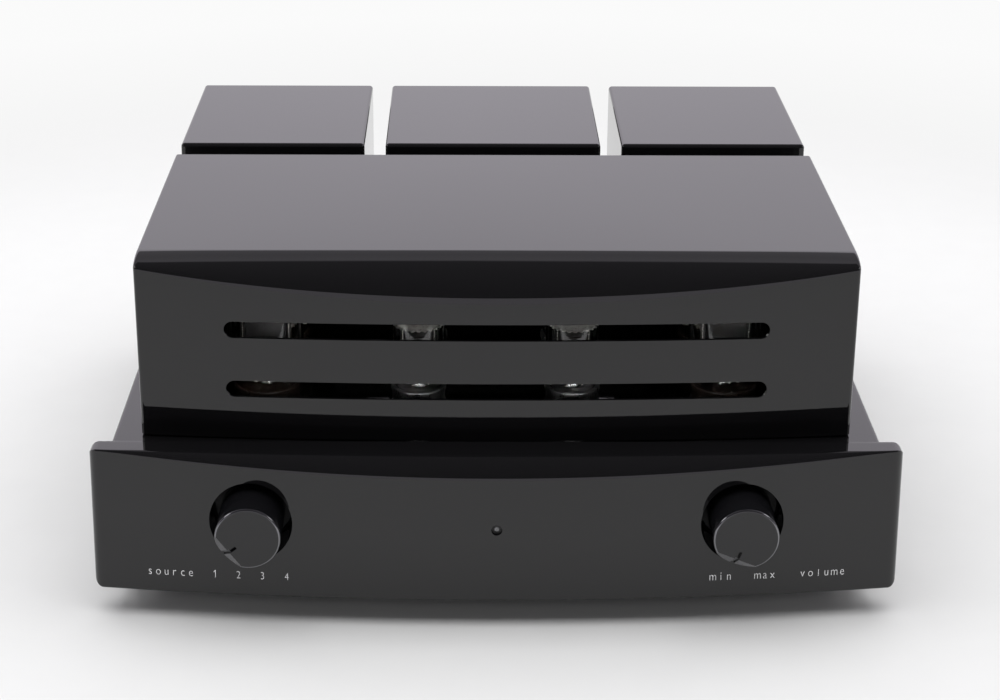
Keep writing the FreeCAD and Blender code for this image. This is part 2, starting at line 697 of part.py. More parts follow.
def tube_cage():
    """The lift-off cage: a bowed shell with slots front and rear and an edge rolled over.

    A gap along the foot of its rear wall lets air in.
    """
    body = new_body()
    low = size("chassis_top") + size("cage_lift")
    high = low + size("cage_height")
    shape = dict(end_y=size("cage_front_y"), bow=size("cage_bow"), roll_y=size("cage_roll_y"),
                 back_y=size("cage_front_y") + size("cage_depth"), flatten=size("cage_flatten"))
    rolled_loft(body, "PartDesign::AdditiveLoft", size("cage_half"), size("cage_corner"),
                low_z=low, high_z=high, **shape)
    doc.recompute()
    rolled_loft(body, "PartDesign::SubtractiveLoft", size("cage_half"), size("cage_corner"),
                low_z=low - 1.0, high_z=high, inset=size("cage_wall"), **shape)
    rear_gap = box("-slot_half", "cage_front_y + cage_depth - 2 * cage_wall",
                   "chassis_top", "2 * slot_half", "3 * cage_wall", "cage_lift + cage_rear_gap")
    part(cut(body, slot_cutter("upper_slot_low", "upper_slot_high"),
             slot_cutter("lower_slot_low", "lower_slot_high"), rear_gap), "tube_cage")


def cage_pins():
    """Blocks inside the cage's lower corners, each with a pin that drops into a grommet."""
    blocks = []
    low = "chassis_top + cage_lift + pin_block_low"
    for side, x, y in pin_places():
        inner = f"{side} * (cage_half - cage_wall - pin_block / 2) - pin_block / 2"
        block = box(inner, f"{y} - pin_block / 2", low, "pin_block", "pin_block", "pin_block")
        pin = cylinder(x, y, "chassis_top - pin_reach + 2", "pin_radius",
                       "pin_reach + cage_lift + pin_block_low")
        blocks.append(fuse(block, pin))
    part(group(*blocks), "cage_pins")


def cage_grommets():
    """Rubber grommets in the chassis's top that hold the cage's pins."""
    grommets = []
    for _, x, y in pin_places():
        sleeve = cylinder(x, y, "chassis_top - 2 * sheet", "grommet_radius",
                          "2 * sheet + grommet_rim / 2")
        rim = cylinder(x, y, "chassis_top", "grommet_flange", "grommet_rim")
        bore = cylinder(x, y, "chassis_top - 3 * sheet", "pin_radius + grommet_fit",
                        "4 * sheet")
        grommets.append(cut(fuse(sleeve, rim), bore))
    part(group(*grommets), "cage_grommets")


# ---------------------------------------------------------------- transformers

def cover(centre_x, width, node):
    """A lacquered transformer cover: a box open below, with its outer edges rounded."""
    body = new_body()
    outline = sketch_on(body, "XY_Plane")
    add_rectangle(outline, f"{centre_x} - {width} / 2", "cover_front_y",
                  f"{centre_x} + {width} / 2", "cover_front_y + cover_depth")
    pad(body, outline, "cage_height + cage_lift")
    doc.recompute()
    names = [f"Edge{i}" for i, item in enumerate(body.Shape.Edges, start=1)
             if item.BoundBox.ZMax > 1]
    fillet(body, names, "cover_edge")
    inside = sketch_on(body, "XY_Plane")
    add_rectangle(inside, f"{centre_x} - {width} / 2 + cover_wall",
                  "cover_front_y + cover_wall", f"{centre_x} + {width} / 2 - cover_wall",
                  "cover_front_y + cover_depth - cover_wall")
    pocket(body, inside, "cage_height + cage_lift - cover_wall", reversed_way=True)
    place(body, 0, 0, "chassis_top")
    part(body, node)


def iron(centre_x, size_name, node):
    """A laminated core with two windows, and the winding that fills them.

    Legs and windows keep a lamination's usual shares: a sixth of its width, and a third
    for the middle leg.
    """
    wide, tall, stack = (f"{size_name}_core_{word}" for word in ("width", "height", "stack"))
    middle_y = "cover_front_y + cover_depth / 2"
    low = "chassis_top + mount_plate"
    outside = box(f"{centre_x} - {wide} / 2", f"{middle_y} - {stack} / 2", low, wide, stack,
                  tall)
    windows = []
    for side in (LEFT, RIGHT):
        windows.append(box(f"{centre_x} + {side} * {wide} / 4 - {wide} / 12",
                           f"{middle_y} - {stack}", f"{low} + {wide} / 6", f"{wide} / 6",
                           f"2 * {stack}", f"{tall} - {wide} / 3"))
    part(cut(outside, *windows), f"{node}_core")
    half_x = f"({wide} / 3 - winding_play)"
    half_y = f"({stack} / 2 + winding_out)"
    wound = box(f"{centre_x} - {half_x}", f"{middle_y} - {half_y}",
                f"{low} + {wide} / 6 + winding_play", f"2 * {half_x}", f"2 * {half_y}",
                f"{tall} - {wide} / 3 - 2 * winding_play")
    leg = box(f"{centre_x} - {wide} / 6 - winding_play",
              f"{middle_y} - {stack} / 2 - winding_play", low,
              f"{wide} / 3 + 2 * winding_play", f"{stack} + 2 * winding_play", tall)
    part(cut(wound, leg), f"{node}_winding")
    return box(f"{centre_x} - {wide} / 2 - mount_margin",
               f"{middle_y} - {stack} / 2 - mount_margin", "chassis_top",
               f"{wide} + 2 * mount_margin", f"{stack} + 2 * mount_margin", "mount_plate")


def transformers():
    """Three covers on the rear deck, each over its own core and winding."""
    side_x = "(cover_outer_half - cover_side_width / 2)"
    rows = ((f"(-1 * {side_x})", "cover_side_width", "side", "left"),
            ("0", "cover_middle_width", "middle", "middle"),
            (side_x, "cover_side_width", "side", "right"))
    plates = []
    for centre_x, width, size_name, word in rows:
        cover(centre_x, width, f"{word}_transformer_cover")
        sheet = iron(centre_x, size_name, f"{word}_transformer")
        hole = cylinder(centre_x, "cover_front_y + cover_depth / 2", "chassis_top - 1",
                        "lead_hole", "mount_plate + 2")
        plates.append(cut(sheet, hole))
    part(group(*plates), "transformer_mount_plates")


# ---------------------------------------------------------------- tubes

def tube_sockets():
    """Octal sockets that fill the chassis's holes and carry the tubes' bases."""
    sockets = []
    for _, x, y in tube_places():
        barrel = cylinder(x, y, "chassis_top - sheet - socket_depth", "socket_radius",
                          "sheet + socket_depth")
        flange = cylinder(x, y, "chassis_top", "socket_flange", "socket_rim")
        bore = cylinder(x, y, "chassis_top - sheet - socket_depth - 1",
                        "spigot_radius + spigot_fit", "2 * sheet + socket_depth + 2")
        sockets.append(cut(fuse(barrel, flange), bore))
    part(group(*sockets), "tube_sockets")


def tube_base(x, y, kind):
    """A tube's moulded base with the keyed spigot that goes down into its socket."""
    body = new_body()
    radius = f"{kind}_base_radius"
    height = f"{kind}_base_height"
    revolve(body, [("0", "-spigot_depth"), ("spigot_radius", "-spigot_depth"),
                   ("spigot_radius", "0"), (f"{radius} - 1", "0"), (radius, "1"),
                   (radius, f"{height} - 1"), (f"{radius} - 1", height), ("0", height)])
    return place(body, x, y, "chassis_top + socket_rim")


def envelope_points(kind, inset):
    """The bulb's outline: straight sides above a short neck, and a domed top."""
    neck, bulb, top = f"{kind}_neck", f"{kind}_bulb", f"{kind}_top"
    low = f"{kind}_base_height"
    points = [(f"{neck} - {inset}", low), (f"{bulb} - {inset}", f"{low} + {bulb} * bulb_foot"),
              (f"{bulb} - {inset}", f"{top} - {bulb} * bulb_dome")]
    for angle in DOME_ANGLES:
        rise = f"({bulb} * bulb_dome - {inset}) * sin({angle})"
        points.append((f"({bulb} - {inset}) * cos({angle})",
                       f"{top} - {bulb} * bulb_dome + {rise}"))
    points.append(("0", f"{top} - {inset}"))
    return points


def envelope(x, y, kind):
    """A thin glass bulb, open at the bottom where it is cemented into its base."""
    body = new_body()
    outside = envelope_points(kind, "0")
    inside = envelope_points(kind, "glass_wall")
    revolve(body, outside + list(reversed(inside)))
    return place(body, x, y, "chassis_top + socket_rim")


def electrodes(x, y, kind):
    """A glass stem, two mica discs and the plate box between them, as one solid."""
    low = f"chassis_top + socket_rim + {kind}_base_height"
    stem = cylinder(x, y, low, "stem_radius", "stem_height + 1")
    plate_x, plate_y, tall = (f"{kind}_plate_{word}" for word in ("x", "y", "height"))
    pieces = [stem]
    for level in (f"{low} + stem_height", f"{low} + stem_height + {tall} + mica_thickness"):
        pieces.append(cylinder(x, y, level, f"{plate_x} / 2 + mica_overhang",
                               "mica_thickness"))
    pieces.append(box(f"{x} - {plate_x} / 2", f"{y} - {plate_y} / 2",
                      f"{low} + stem_height + mica_thickness", plate_x, plate_y, tall))
    return fuse(*pieces)


def tubes():
    """Four power tubes in the outer columns and four driver tubes in the inner ones."""
    for kind, column in (("power", "power_x"), ("driver", "driver_x")):
        spots = [(x, y) for name, x, y in tube_places() if name == column]
        part(group(*[tube_base(x, y, kind) for x, y in spots]), f"{kind}_tube_bases")
        part(group(*[envelope(x, y, kind) for x, y in spots]), f"{kind}_tube_envelopes")
        part(group(*[electrodes(x, y, kind) for x, y in spots]), f"{kind}_tube_electrodes")


# ---------------------------------------------------------------- inside the chassis

def boards():
    """The main circuit board on its standoffs, with the supply capacitors on it."""
    floor_z = "foot_height + plate"
    top_z = f"{floor_z} + board_height"
    part(box("-board_half_x", "board_front_y", top_z, "2 * board_half_x",
             "board_rear_y - board_front_y", "board_thickness"), "main_board")
    spacers = []
    for x in ("-board_half_x + standoff_inset", "board_half_x - standoff_inset"):
        for y in ("board_front_y + standoff_inset", "board_rear_y - standoff_inset"):
            spacers.append(cylinder(x, y, floor_z, "standoff_radius", "board_height"))
    part(group(*spacers), "board_standoffs")
    cans = []
    for column in (-1, 0, 1):
        for row in (0, 1):
            cans.append(cylinder(f"{column} * can_pitch", f"can_y + {row} * can_pitch",
                                 f"{top_z} + board_thickness", "can_radius", "can_height"))
    part(group(*cans), "supply_capacitors")


# ---------------------------------------------------------------- rear fittings

def input_jacks():
    """Phono jacks: plated shells on coloured insulating rings."""
    shells = []
    rings = {0: [], 1: []}
    rear = "chassis_rear_y"
    for level, x, z in jack_places():
        barrel = rod(x, f"{rear} - sheet - jack_tail", z, "jack_radius",
                     "sheet + jack_tail + jack_ring + jack_length")
        bore = rod(x, f"{rear} + jack_ring + jack_length - jack_bore_depth", z, "jack_bore",
                   "jack_bore_depth + 1")
        shells.append(cut(barrel, bore))
        collar = rod(x, rear, z, "jack_ring_radius", "jack_ring")
        sleeve = rod(x, f"{rear} - sheet", z, "jack_hole - shaft_fit", "sheet + jack_ring / 2")
        through = rod(x, f"{rear} - 2 * sheet", z, "jack_radius", "4 * sheet")
        rings[level].append(cut(fuse(collar, sleeve), through))
    part(group(*shells), "input_jack_shells")
    part(group(*rings[0]), "left_jack_rings")
    part(group(*rings[1]), "right_jack_rings")


def binding_posts():
    """Speaker posts: threaded studs, insulating bases and a fluted cap on each stud."""
    rear = "chassis_rear_y"
    studs = []
    bases = []
    for index, x, z in post_places():
        studs.append(rod(x, f"{rear} - sheet - post_tail", z, "post_stud",
                         f"post_cap_end - 3 - ({rear} - sheet - post_tail)"))
        collar = rod(x, rear, z, "post_base_radius", "post_base_length")
        sleeve = rod(x, f"{rear} - sheet", z, "post_hole - shaft_fit", "sheet + 1")
        through = rod(x, f"{rear} - 2 * sheet", z, "post_stud", "2 * sheet + 2 * post_base_length")
        bases.append(cut(fuse(collar, sleeve), through))
        part(post_cap(x, z), f"speaker_post_cap_{index + 1}")
    part(group(*studs), "speaker_post_studs")
    part(group(*bases), "speaker_post_bases")


def post_cap(x, z):
    """A fluted cap that runs on its stud, with room behind it for a wire or a spade."""
    start = "chassis_rear_y + post_cap_start"
    length = f"post_cap_end - ({start})"
    turned = rod(x, start, z, "post_cap_radius", length)
    tools = [rod(x, f"{start} - 1", z, "post_stud + post_fit", f"{length} - 1")]
    count = int(size("post_cap_flutes"))
    for i in range(count):
        angle = 360.0 * i / count
        tools.append(rod(f"{x} + post_cap_radius * cos({angle})", f"{start} + post_flute_start",
                         f"{z} + post_cap_radius * sin({angle})", "post_flute", length))
    return cut(turned, *tools)


def mains_inlet():
    """The mains inlet with its blades, and below them a drawer that holds the fuse."""
    rear = "chassis_rear_y"
    shell = box("inlet_x - inlet_width / 2", f"{rear} - sheet - inlet_depth",
                "inlet_z - inlet_height / 2", "inlet_width", "inlet_depth + sheet",
                "inlet_height")
    flange = box("inlet_x - inlet_width / 2 - inlet_flange_lip", rear,
                 "inlet_z - inlet_height / 2 - inlet_flange_lip",
                 "inlet_width + 2 * inlet_flange_lip", "inlet_flange",
                 "inlet_height + 2 * inlet_flange_lip")
    cup = box("inlet_x - inlet_cup_width / 2", f"{rear} + inlet_flange - inlet_cup_depth",
              "inlet_z + inlet_cup_z - inlet_cup_height / 2", "inlet_cup_width",
              "inlet_cup_depth + 1", "inlet_cup_height")
    bay = box("inlet_x - fuse_width / 2 - fuse_play", f"{rear} + inlet_flange - fuse_depth",
              "inlet_z + fuse_z - fuse_height / 2 - fuse_play", "fuse_width + 2 * fuse_play",
              "fuse_depth + 1", "fuse_height + 2 * fuse_play")
    part(cut(fuse(shell, flange), cup, bay), "mains_inlet")
    blades = []
    for across, up in ((-1, -1), (1, -1), (0, 1)):
        blades.append(box(f"inlet_x + {across} * blade_pitch - blade_width / 2",
                          f"{rear} + inlet_flange - inlet_cup_depth",
                          f"inlet_z + inlet_cup_z + {up} * blade_width - blade_height / 2",
                          "blade_width", "blade_length", "blade_height"))
    part(group(*blades), "inlet_blades")
    fuse_drawer()


def fuse_drawer():
    """A drawer that slides out of the inlet with a glass fuse lying in it."""
    rear = "chassis_rear_y"
    back = f"{rear} + inlet_flange - fuse_depth + fuse_play"
    tray = box("inlet_x - fuse_width / 2", back, "inlet_z + fuse_z - fuse_height / 2",
               "fuse_width", f"{rear} + inlet_flange + fuse_front - ({back})", "fuse_height")
    trough = box("inlet_x - fuse_length / 2 - fuse_play", f"{back} + fuse_slot / 2",
                 "inlet_z + fuse_z - fuse_height / 2 + fuse_floor", "fuse_length + 2 * fuse_play",
                 "fuse_slot", "fuse_height")
    part(cut(tray, trough), "fuse_drawer")
    link = doc.addObject("Part::Cylinder", "FuseLink")
    bind(link, Radius="fuse_radius", Height="fuse_length")
    link.Placement = FreeCAD.Placement(Vector(), FreeCAD.Rotation(Vector(0, 1, 0), 90))
    place(link, "inlet_x - fuse_length / 2", f"{back} + fuse_slot",
          "inlet_z + fuse_z - fuse_height / 2 + fuse_floor + fuse_radius")
    part(link, "mains_fuse")


def power_switch():
    """A rocker switch: its housing through the rear panel, and the rocker on its pivot."""
    rear = "chassis_rear_y"
    outer_x = "(rocker_width / 2 + rocker_frame)"
    outer_z = "(rocker_height / 2 + rocker_frame)"
    shell = box(f"rocker_x - {outer_x}", f"{rear} - sheet - rocker_depth",
                f"inlet_z - {outer_z}", f"2 * {outer_x}", "sheet + rocker_depth",
                f"2 * {outer_z}")
    flange = box(f"rocker_x - {outer_x} - rocker_lip", rear, f"inlet_z - {outer_z} - rocker_lip",
                 f"2 * {outer_x} + 2 * rocker_lip", "rocker_lip",
                 f"2 * {outer_z} + 2 * rocker_lip")
    well = box("rocker_x - rocker_width / 2", f"{rear} - rocker_depth + 2",
               "inlet_z - rocker_height / 2", "rocker_width", "rocker_depth + 1",
               "rocker_height")
    pivot_hole = cross_pin("rocker_x", "pivot_radius + pivot_fit", "pivot_reach + pivot_fit")
    part(cut(fuse(shell, flange), well, pivot_hole), "power_switch_housing")
    rocker()


def cross_pin(x, radius, reach):
    """A cylinder along X on the rocker's pivot, reaching past both sides of the well."""
    pin = doc.addObject("Part::Cylinder", "Pivot")
    pin.Placement = FreeCAD.Placement(Vector(), FreeCAD.Rotation(Vector(0, 1, 0), 90))
    bind(pin, Radius=radius, Height=f"rocker_width + 2 * ({reach})")
    return place(pin, f"{x} - rocker_width / 2 - ({reach})", "chassis_rear_y - rocker_pivot",
                 "inlet_z")


def rocker():
    """The rocker: a shallow V of two faces with a pivot pin, resting on one of its stops."""
    body = new_body()
    side_view = sketch_on(body, "YZ_Plane")
    half = "(rocker_height / 2 - rocker_end_play)"
    face = "rocker_pivot + rocker_proud"
    add_polygon(side_view, [("-rocker_back", "0"),
                            ("rocker_pivot - 1", f"-1 * {half} * rocker_taper"),
                            (f"{face} + rocker_horn", f"-1 * {half}"), (face, "0"),
                            (f"{face} + rocker_horn", half),
                            ("rocker_pivot - 1", f"{half} * rocker_taper")])
    feature = pad(body, side_view, "rocker_width - 2 * rocker_play")
    feature.Midplane = True
    turn(body, Vector(1, 0, 0), "rocker_tilt")
    place(body, "rocker_x", "chassis_rear_y - rocker_pivot", "inlet_z")
    part(fuse(body, cross_pin("rocker_x", "pivot_radius", "pivot_reach")), "power_rocker")


# ---------------------------------------------------------------- derived cells, and the build

def add_derived_cells():
    """Cells that follow from the driving dimensions."""
    derived = {
        "face_top": "=foot_height + face_height",
        "chassis_top": "=foot_height + face_height - chassis_step",
        "knob_z": "=foot_height + face_height - knob_drop",
        "lamp_z": "=foot_height + face_height - lamp_drop",
        "lead_hole": "=socket_hole / 2",
    }
    first = len(DIMENSIONS) + 1
    for row, (alias, text) in enumerate(derived.items(), start=first):
        SHEET.set(f"A{row}", alias)
        SHEET.set(f"B{row}", text)
        SHEET.setAlias(f"B{row}", alias)
        DIMENSIONS[alias] = text
    doc.recompute()


def check_document():
    """Stop if any object failed, or if a sub-part is empty, unsound or out of place."""
    for thing in doc.Objects:
        if "Invalid" in thing.State or "Error" in thing.State:
            raise RuntimeError(f"{thing.Name} ({thing.Label}) failed: {thing.State}")
    for thing in exports:
        if thing.Shape.isNull() or not thing.Shape.isValid():
            raise RuntimeError(f"{thing.Label} has no sound shape")


def write_parts():
    os.makedirs("parts", exist_ok=True)
    for thing in exports:
        thing.Shape.exportStep(os.path.join("parts", f"{thing.Label}.step"))


add_derived_cells()
feet()
bottom_plate()
chassis()
rear_panel()
faceplate()
faceplate_screws()
control(LEFT, "source_turn", "switch_radius", "switch_depth", "source_switch",
        "source_shaft", "source_knob", "source_knob_screw")
control(RIGHT, "volume_turn", "pot_radius", "pot_depth", "volume_potentiometer",
        "volume_shaft", "volume_knob", "volume_knob_screw")
shaft_nuts()
lamp()
tube_cage()
cage_pins()
cage_grommets()
transformers()
tube_sockets()
tubes()
boards()
input_jacks()
binding_posts()
mains_inlet()
power_switch()
doc.recompute()
check_document()
write_parts()
print(f"{len(exports)} sub-parts written")
for finished in exports:
    bounds = finished.Shape.BoundBox
    print(f"{finished.Label:28s} solids {len(finished.Shape.Solids):2d}  "
          f"x {bounds.XMin:8.2f} {bounds.XMax:8.2f}  y {bounds.YMin:8.2f} {bounds.YMax:8.2f}  "
          f"z {bounds.ZMin:7.2f} {bounds.ZMax:7.2f}")
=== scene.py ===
import json
import math
from collections import namedtuple

import bmesh
import bpy
from mathutils import Matrix, Vector


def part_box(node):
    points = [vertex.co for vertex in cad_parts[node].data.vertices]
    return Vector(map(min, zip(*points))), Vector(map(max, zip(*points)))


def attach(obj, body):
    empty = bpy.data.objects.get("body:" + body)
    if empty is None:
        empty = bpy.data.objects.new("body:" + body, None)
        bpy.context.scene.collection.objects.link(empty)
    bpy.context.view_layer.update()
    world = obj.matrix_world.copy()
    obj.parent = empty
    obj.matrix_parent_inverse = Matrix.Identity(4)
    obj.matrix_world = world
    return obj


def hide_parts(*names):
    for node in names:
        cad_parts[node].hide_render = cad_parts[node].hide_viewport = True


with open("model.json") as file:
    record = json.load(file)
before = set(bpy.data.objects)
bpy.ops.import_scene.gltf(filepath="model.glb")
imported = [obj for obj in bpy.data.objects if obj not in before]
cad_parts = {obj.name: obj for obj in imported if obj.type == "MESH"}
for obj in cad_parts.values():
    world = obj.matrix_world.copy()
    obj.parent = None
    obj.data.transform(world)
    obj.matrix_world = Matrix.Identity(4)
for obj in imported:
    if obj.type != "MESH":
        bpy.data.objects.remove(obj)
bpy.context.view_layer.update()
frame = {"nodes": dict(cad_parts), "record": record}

MM = 0.001
TAU = 2 * math.pi
AMPLIFIER = "amplifier"
SIDES = ("left", "middle", "right")
SMALL = 0.00003


# ---------------- places read from the frame

def middle(node):
    """The middle of a node's box."""
    low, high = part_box(node)
    return [(a + b) / 2 for a, b in zip(low, high)]


def corners_within(node, radius):
    """The centres of a node's four round parts, one at each corner of its box."""
    low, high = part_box(node)
    return [(x, y) for x in (low[0] + radius, high[0] - radius)
            for y in (low[1] + radius, high[1] - radius)]


FACE_LOW, FACE_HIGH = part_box("faceplate")
CAGE_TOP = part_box("tube_cage")[1][2]
PANEL_LOW, PANEL_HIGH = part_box("rear_panel")
JOINTS = {joint["name"]: joint for joint in frame["record"]["behaviour"]["joints"]}
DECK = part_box("left_transformer_cover")[0][2]
REAR = PANEL_HIGH[1]


# ---------------- materials

class Shading:
    """The node tree of a material or world, with short ways to add nodes and join them."""

    def __init__(self, owner):
        owner.use_nodes = True
        self.owner = owner
        self.nodes = owner.node_tree.nodes
        self.links = owner.node_tree.links

    def put(self, node, inputs):
        """Set a node's inputs by name or number: a socket is linked, anything else is a value."""
        for key, value in inputs.items():
            if isinstance(value, bpy.types.NodeSocket):
                self.links.new(value, node.inputs[key])
            else:
                node.inputs[key].default_value = value

    def add(self, kind, inputs, **settings):
        """Add a shader node with its settings and inputs, and return it."""
        node = self.nodes.new(f"ShaderNode{kind}")
        for name, value in settings.items():
            setattr(node, name, value)
        self.put(node, inputs)
        return node

    def surface(self, inputs):
        """Set the Principled shader's inputs."""
        self.put(self.nodes["Principled BSDF"], inputs)

    def place(self):
        """Object coordinates, which are metres in the frame."""
        return self.add("TexCoord", {}).outputs["Object"]

    def noise(self, scale, stretch=(1, 1, 1), detail=4):
        """A noise texture, stretched along the axes."""
        mapping = self.add("Mapping", {"Vector": self.place(), "Scale": stretch})
        texture = self.add("TexNoise", {"Vector": mapping.outputs["Vector"], "Scale": scale,
                                        "Detail": detail})
        return texture.outputs["Fac"]

    def spread(self, source, low, high):
        """Map a noise value to a range."""
        ramp = self.add("MapRange", {"Value": source, "From Min": 0.3, "From Max": 0.7,
                                     "To Min": low, "To Max": high})
        return ramp.outputs["Result"]

    def bump(self, height, strength, depth):
        """Bend the shading normal by a height."""
        bump = self.add("Bump", {"Height": height, "Strength": strength, "Distance": depth})
        self.surface({"Normal": bump.outputs["Normal"]})

    def tones(self, factor, stops):
        """A colour ramp through (position, colour) stops, in rising order."""
        ramp = self.add("ValToRGB", {"Fac": factor})
        elements = ramp.color_ramp.elements
        for element, (position, colour) in zip(elements, (stops[0], stops[-1])):
            element.position = position
            element.color = (*colour, 1)
        for position, colour in stops[1:-1]:
            elements.new(position).color = (*colour, 1)
        return ramp.outputs["Color"]

    def maths(self, operation, *inputs):
        """One Math node fed by sockets or numbers."""
        return self.add("Math", dict(enumerate(inputs)), operation=operation).outputs[0]


def new_material(name):
    """The shading of a new material."""
    return Shading(bpy.data.materials.new(name))


def finish(name, colour, rough, metallic=0, vary=0.15, grain=900, stretch=(1, 1, 1),
           bump=0.1, bump_depth=0.00005, coat=0):
    """A surface whose colour and gloss vary with a noise, with a fine relief."""
    look = new_material(name)
    fine = look.noise(grain, stretch)
    broad = look.noise(grain / 14, stretch, 2)
    mix = look.add("Mix", {"A": (*[c * (1 - vary) for c in colour], 1),
                           "B": (*[min(c * (1 + vary), 1) for c in colour], 1),
                           "Factor": look.spread(broad, 0, 1)}, data_type="RGBA")
    look.surface({"Base Color": mix.outputs["Result"], "Metallic": metallic, "IOR": 1.5,
                  "Roughness": look.spread(fine, rough * 0.8, rough * 1.2),
                  "Coat Weight": coat, "Coat Roughness": 0.05})
    look.bump(fine, bump, bump_depth)
    return look.owner


def lacquer():
    """Deep black piano lacquer: a mirror with the faintest orange peel and dust haze."""
    look = new_material("black_lacquer")
    look.surface({"Base Color": (0.0058, 0.0056, 0.0062, 1), "IOR": 1.5,
                  "Roughness": look.spread(look.noise(60), 0.02, 0.045)})
    look.bump(look.noise(220, detail=1), 0.012, 0.0004)
    return look.owner


def glass(name, tint=(1, 1, 1)):
    """Clear blown glass with slight waviness."""
    look = new_material(name)
    look.surface({"Base Color": (*tint, 1), "Transmission Weight": 1, "Roughness": 0,
                  "IOR": 1.46})
    look.bump(look.noise(60, detail=1), 0.03, 0.0005)
    return look.owner


def getter():
    """The silver getter flash inside a bulb, smoky where it thins out."""
    look = new_material("getter_flash")
    smoke = look.noise(160, detail=6)
    silver = look.tones(smoke, ((0.32, (0.12, 0.09, 0.07)), (0.62, (0.62, 0.62, 0.64))))
    look.surface({"Metallic": 1, "Base Color": silver,
                  "Roughness": look.spread(smoke, 0.28, 0.12)})
    return look.owner


def brushed(name, colour, rough, stretch):
    """Metal with fine parallel brush marks."""
    return finish(name, colour, rough, metallic=1, vary=0.12, grain=500, stretch=stretch,
                  bump=0.25, bump_depth=0.00004)


def laminated(name):
    """Stacked transformer laminations: thin dark lines between grey sheets."""
    look = new_material(name)
    wave = look.add("TexWave", {"Vector": look.place(), "Scale": 300, "Distortion": 0.4},
                    bands_direction="Y").outputs["Fac"]
    sheets = look.tones(wave, ((0, (0.05, 0.05, 0.055)), (1, (0.3, 0.3, 0.31))))
    look.surface({"Base Color": sheets, "Metallic": 0.7, "Roughness": 0.5})
    look.bump(wave, 0.4, 0.0001)
    return look.owner


ROUND_BRUSH = (0.2, 6, 0.2)
LACQUER = lacquer()
PANEL = finish("panel_paint", (0.012, 0.012, 0.013), 0.35, grain=1500, bump=0.35)
KNOB = finish("knob_anodised", (0.006, 0.006, 0.007), 0.07, vary=0.1, grain=300, bump=0.02)
RIM = finish("burnished_rim", (0.2, 0.2, 0.21), 0.14, metallic=1, vary=0.1, grain=700,
             bump=0.03)
# Painted sheen: the knob facet's lighter grey stands in for the bright reflection that the facet
# catches.
FACET_SHEEN = finish("facet_painted_sheen", (0.13, 0.13, 0.135), 0.32, vary=0.1, grain=900, bump=0.1)
INK = finish("screen_ink", (0.86, 0.86, 0.87), 0.5, vary=0.08, grain=2500, bump=0.3)
# Matt black: the lamp holder's own colour, and the painted shade of the recess rings.
DARK = finish("dark_recess", (0.004, 0.004, 0.004), 0.5)
STEEL = brushed("turned_steel", (0.62, 0.62, 0.61), 0.28, ROUND_BRUSH)
ZINC = finish("zinc_plate", (0.6, 0.6, 0.57), 0.32, metallic=1, vary=0.2, grain=400)
BLACK_STEEL = finish("black_oxide", (0.03, 0.03, 0.032), 0.38, metallic=0.9, vary=0.3)
RUBBER = finish("rubber", (0.018, 0.018, 0.018), 0.75, vary=0.25, grain=1200, bump=0.4)
MOULDED = finish("moulded_black", (0.02, 0.018, 0.017), 0.3, vary=0.25, grain=700, bump=0.2)
BAKELITE = finish("bakelite", (0.016, 0.011, 0.009), 0.22, vary=0.4, grain=500, bump=0.15)
COLLAR = brushed("tube_collar", (0.42, 0.42, 0.43), 0.3, ROUND_BRUSH)
GLASS = glass("tube_glass")
FUSE_GLASS = glass("fuse_glass", (0.95, 0.98, 1))
LENS = finish("lamp_lens", (0.16, 0.16, 0.17), 0.12, vary=0.3, grain=900, bump=0.1, coat=0.6)
GETTER = getter()
ANODE = finish("carbonised_anode", (0.05, 0.05, 0.052), 0.6, metallic=0.3, vary=0.4,
               grain=700, bump=0.5)
MICA = finish("mica", (0.36, 0.35, 0.33), 0.3, vary=0.2, grain=600, bump=0.3)
NICKEL = finish("nickel_wire", (0.6, 0.58, 0.55), 0.25, metallic=1)
GOLD = finish("gold_plate", (0.86, 0.62, 0.24), 0.16, metallic=1, vary=0.08, grain=500,
              bump=0.08)
WHITE_RING = finish("ring_white", (0.78, 0.78, 0.77), 0.35, vary=0.05)
RED_RING = finish("ring_red", (0.5, 0.012, 0.012), 0.3, vary=0.12)
POST_RED = finish("post_red", (0.42, 0.01, 0.01), 0.22, vary=0.15, coat=0.3)
POST_BLACK = finish("post_black", (0.015, 0.015, 0.016), 0.22, vary=0.2, coat=0.3)
IRON = laminated("core_laminations")
TAPE = finish("winding_tape", (0.62, 0.45, 0.12), 0.45, vary=0.25, grain=260,
              stretch=(1, 1, 8), bump=0.5)
BOARD = finish("solder_mask", (0.012, 0.09, 0.035), 0.3, vary=0.35, grain=420, bump=0.4)
SLEEVE = finish("capacitor_sleeve", (0.012, 0.014, 0.07), 0.3, vary=0.15, coat=0.3)


# ---------------- mesh helpers

def shade(mesh, angle=35):
    """Smooth shading, kept sharp where faces meet at more than the angle."""
    for polygon in mesh.polygons:
        polygon.use_smooth = True
    mesh.set_sharp_from_angle(angle=math.radians(angle))


def make_object(name, bm):
    """Turn a finished bmesh into an object of the scene."""
    bmesh.ops.recalc_face_normals(bm, faces=bm.faces)
    mesh = bpy.data.meshes.new(name)
    bm.to_mesh(mesh)
    bm.free()
    obj = bpy.data.objects.new(name, mesh)
    bpy.context.collection.objects.link(obj)
    return obj


def settle(obj):
    """Replace an object's mesh by what its modifiers make of it."""
    depsgraph = bpy.context.evaluated_depsgraph_get()
    made = bpy.data.meshes.new_from_object(obj.evaluated_get(depsgraph))
    obj.modifiers.clear()
    obj.data = made


def carve(obj, cutters):
    """Cut closed meshes out of an object."""
    for cutter in cutters:
        step = obj.modifiers.new("Cut", "BOOLEAN")
        step.operation = "DIFFERENCE"
        step.solver = "EXACT"
        step.object = cutter
    settle(obj)
    for cutter in cutters:
        bpy.data.objects.remove(cutter)


def weigh_normals(obj):
    """Let large faces stay flat next to narrow rounded edges."""
    step = obj.modifiers.new("Weights", "WEIGHTED_NORMAL")
    step.keep_sharp = True
    settle(obj)


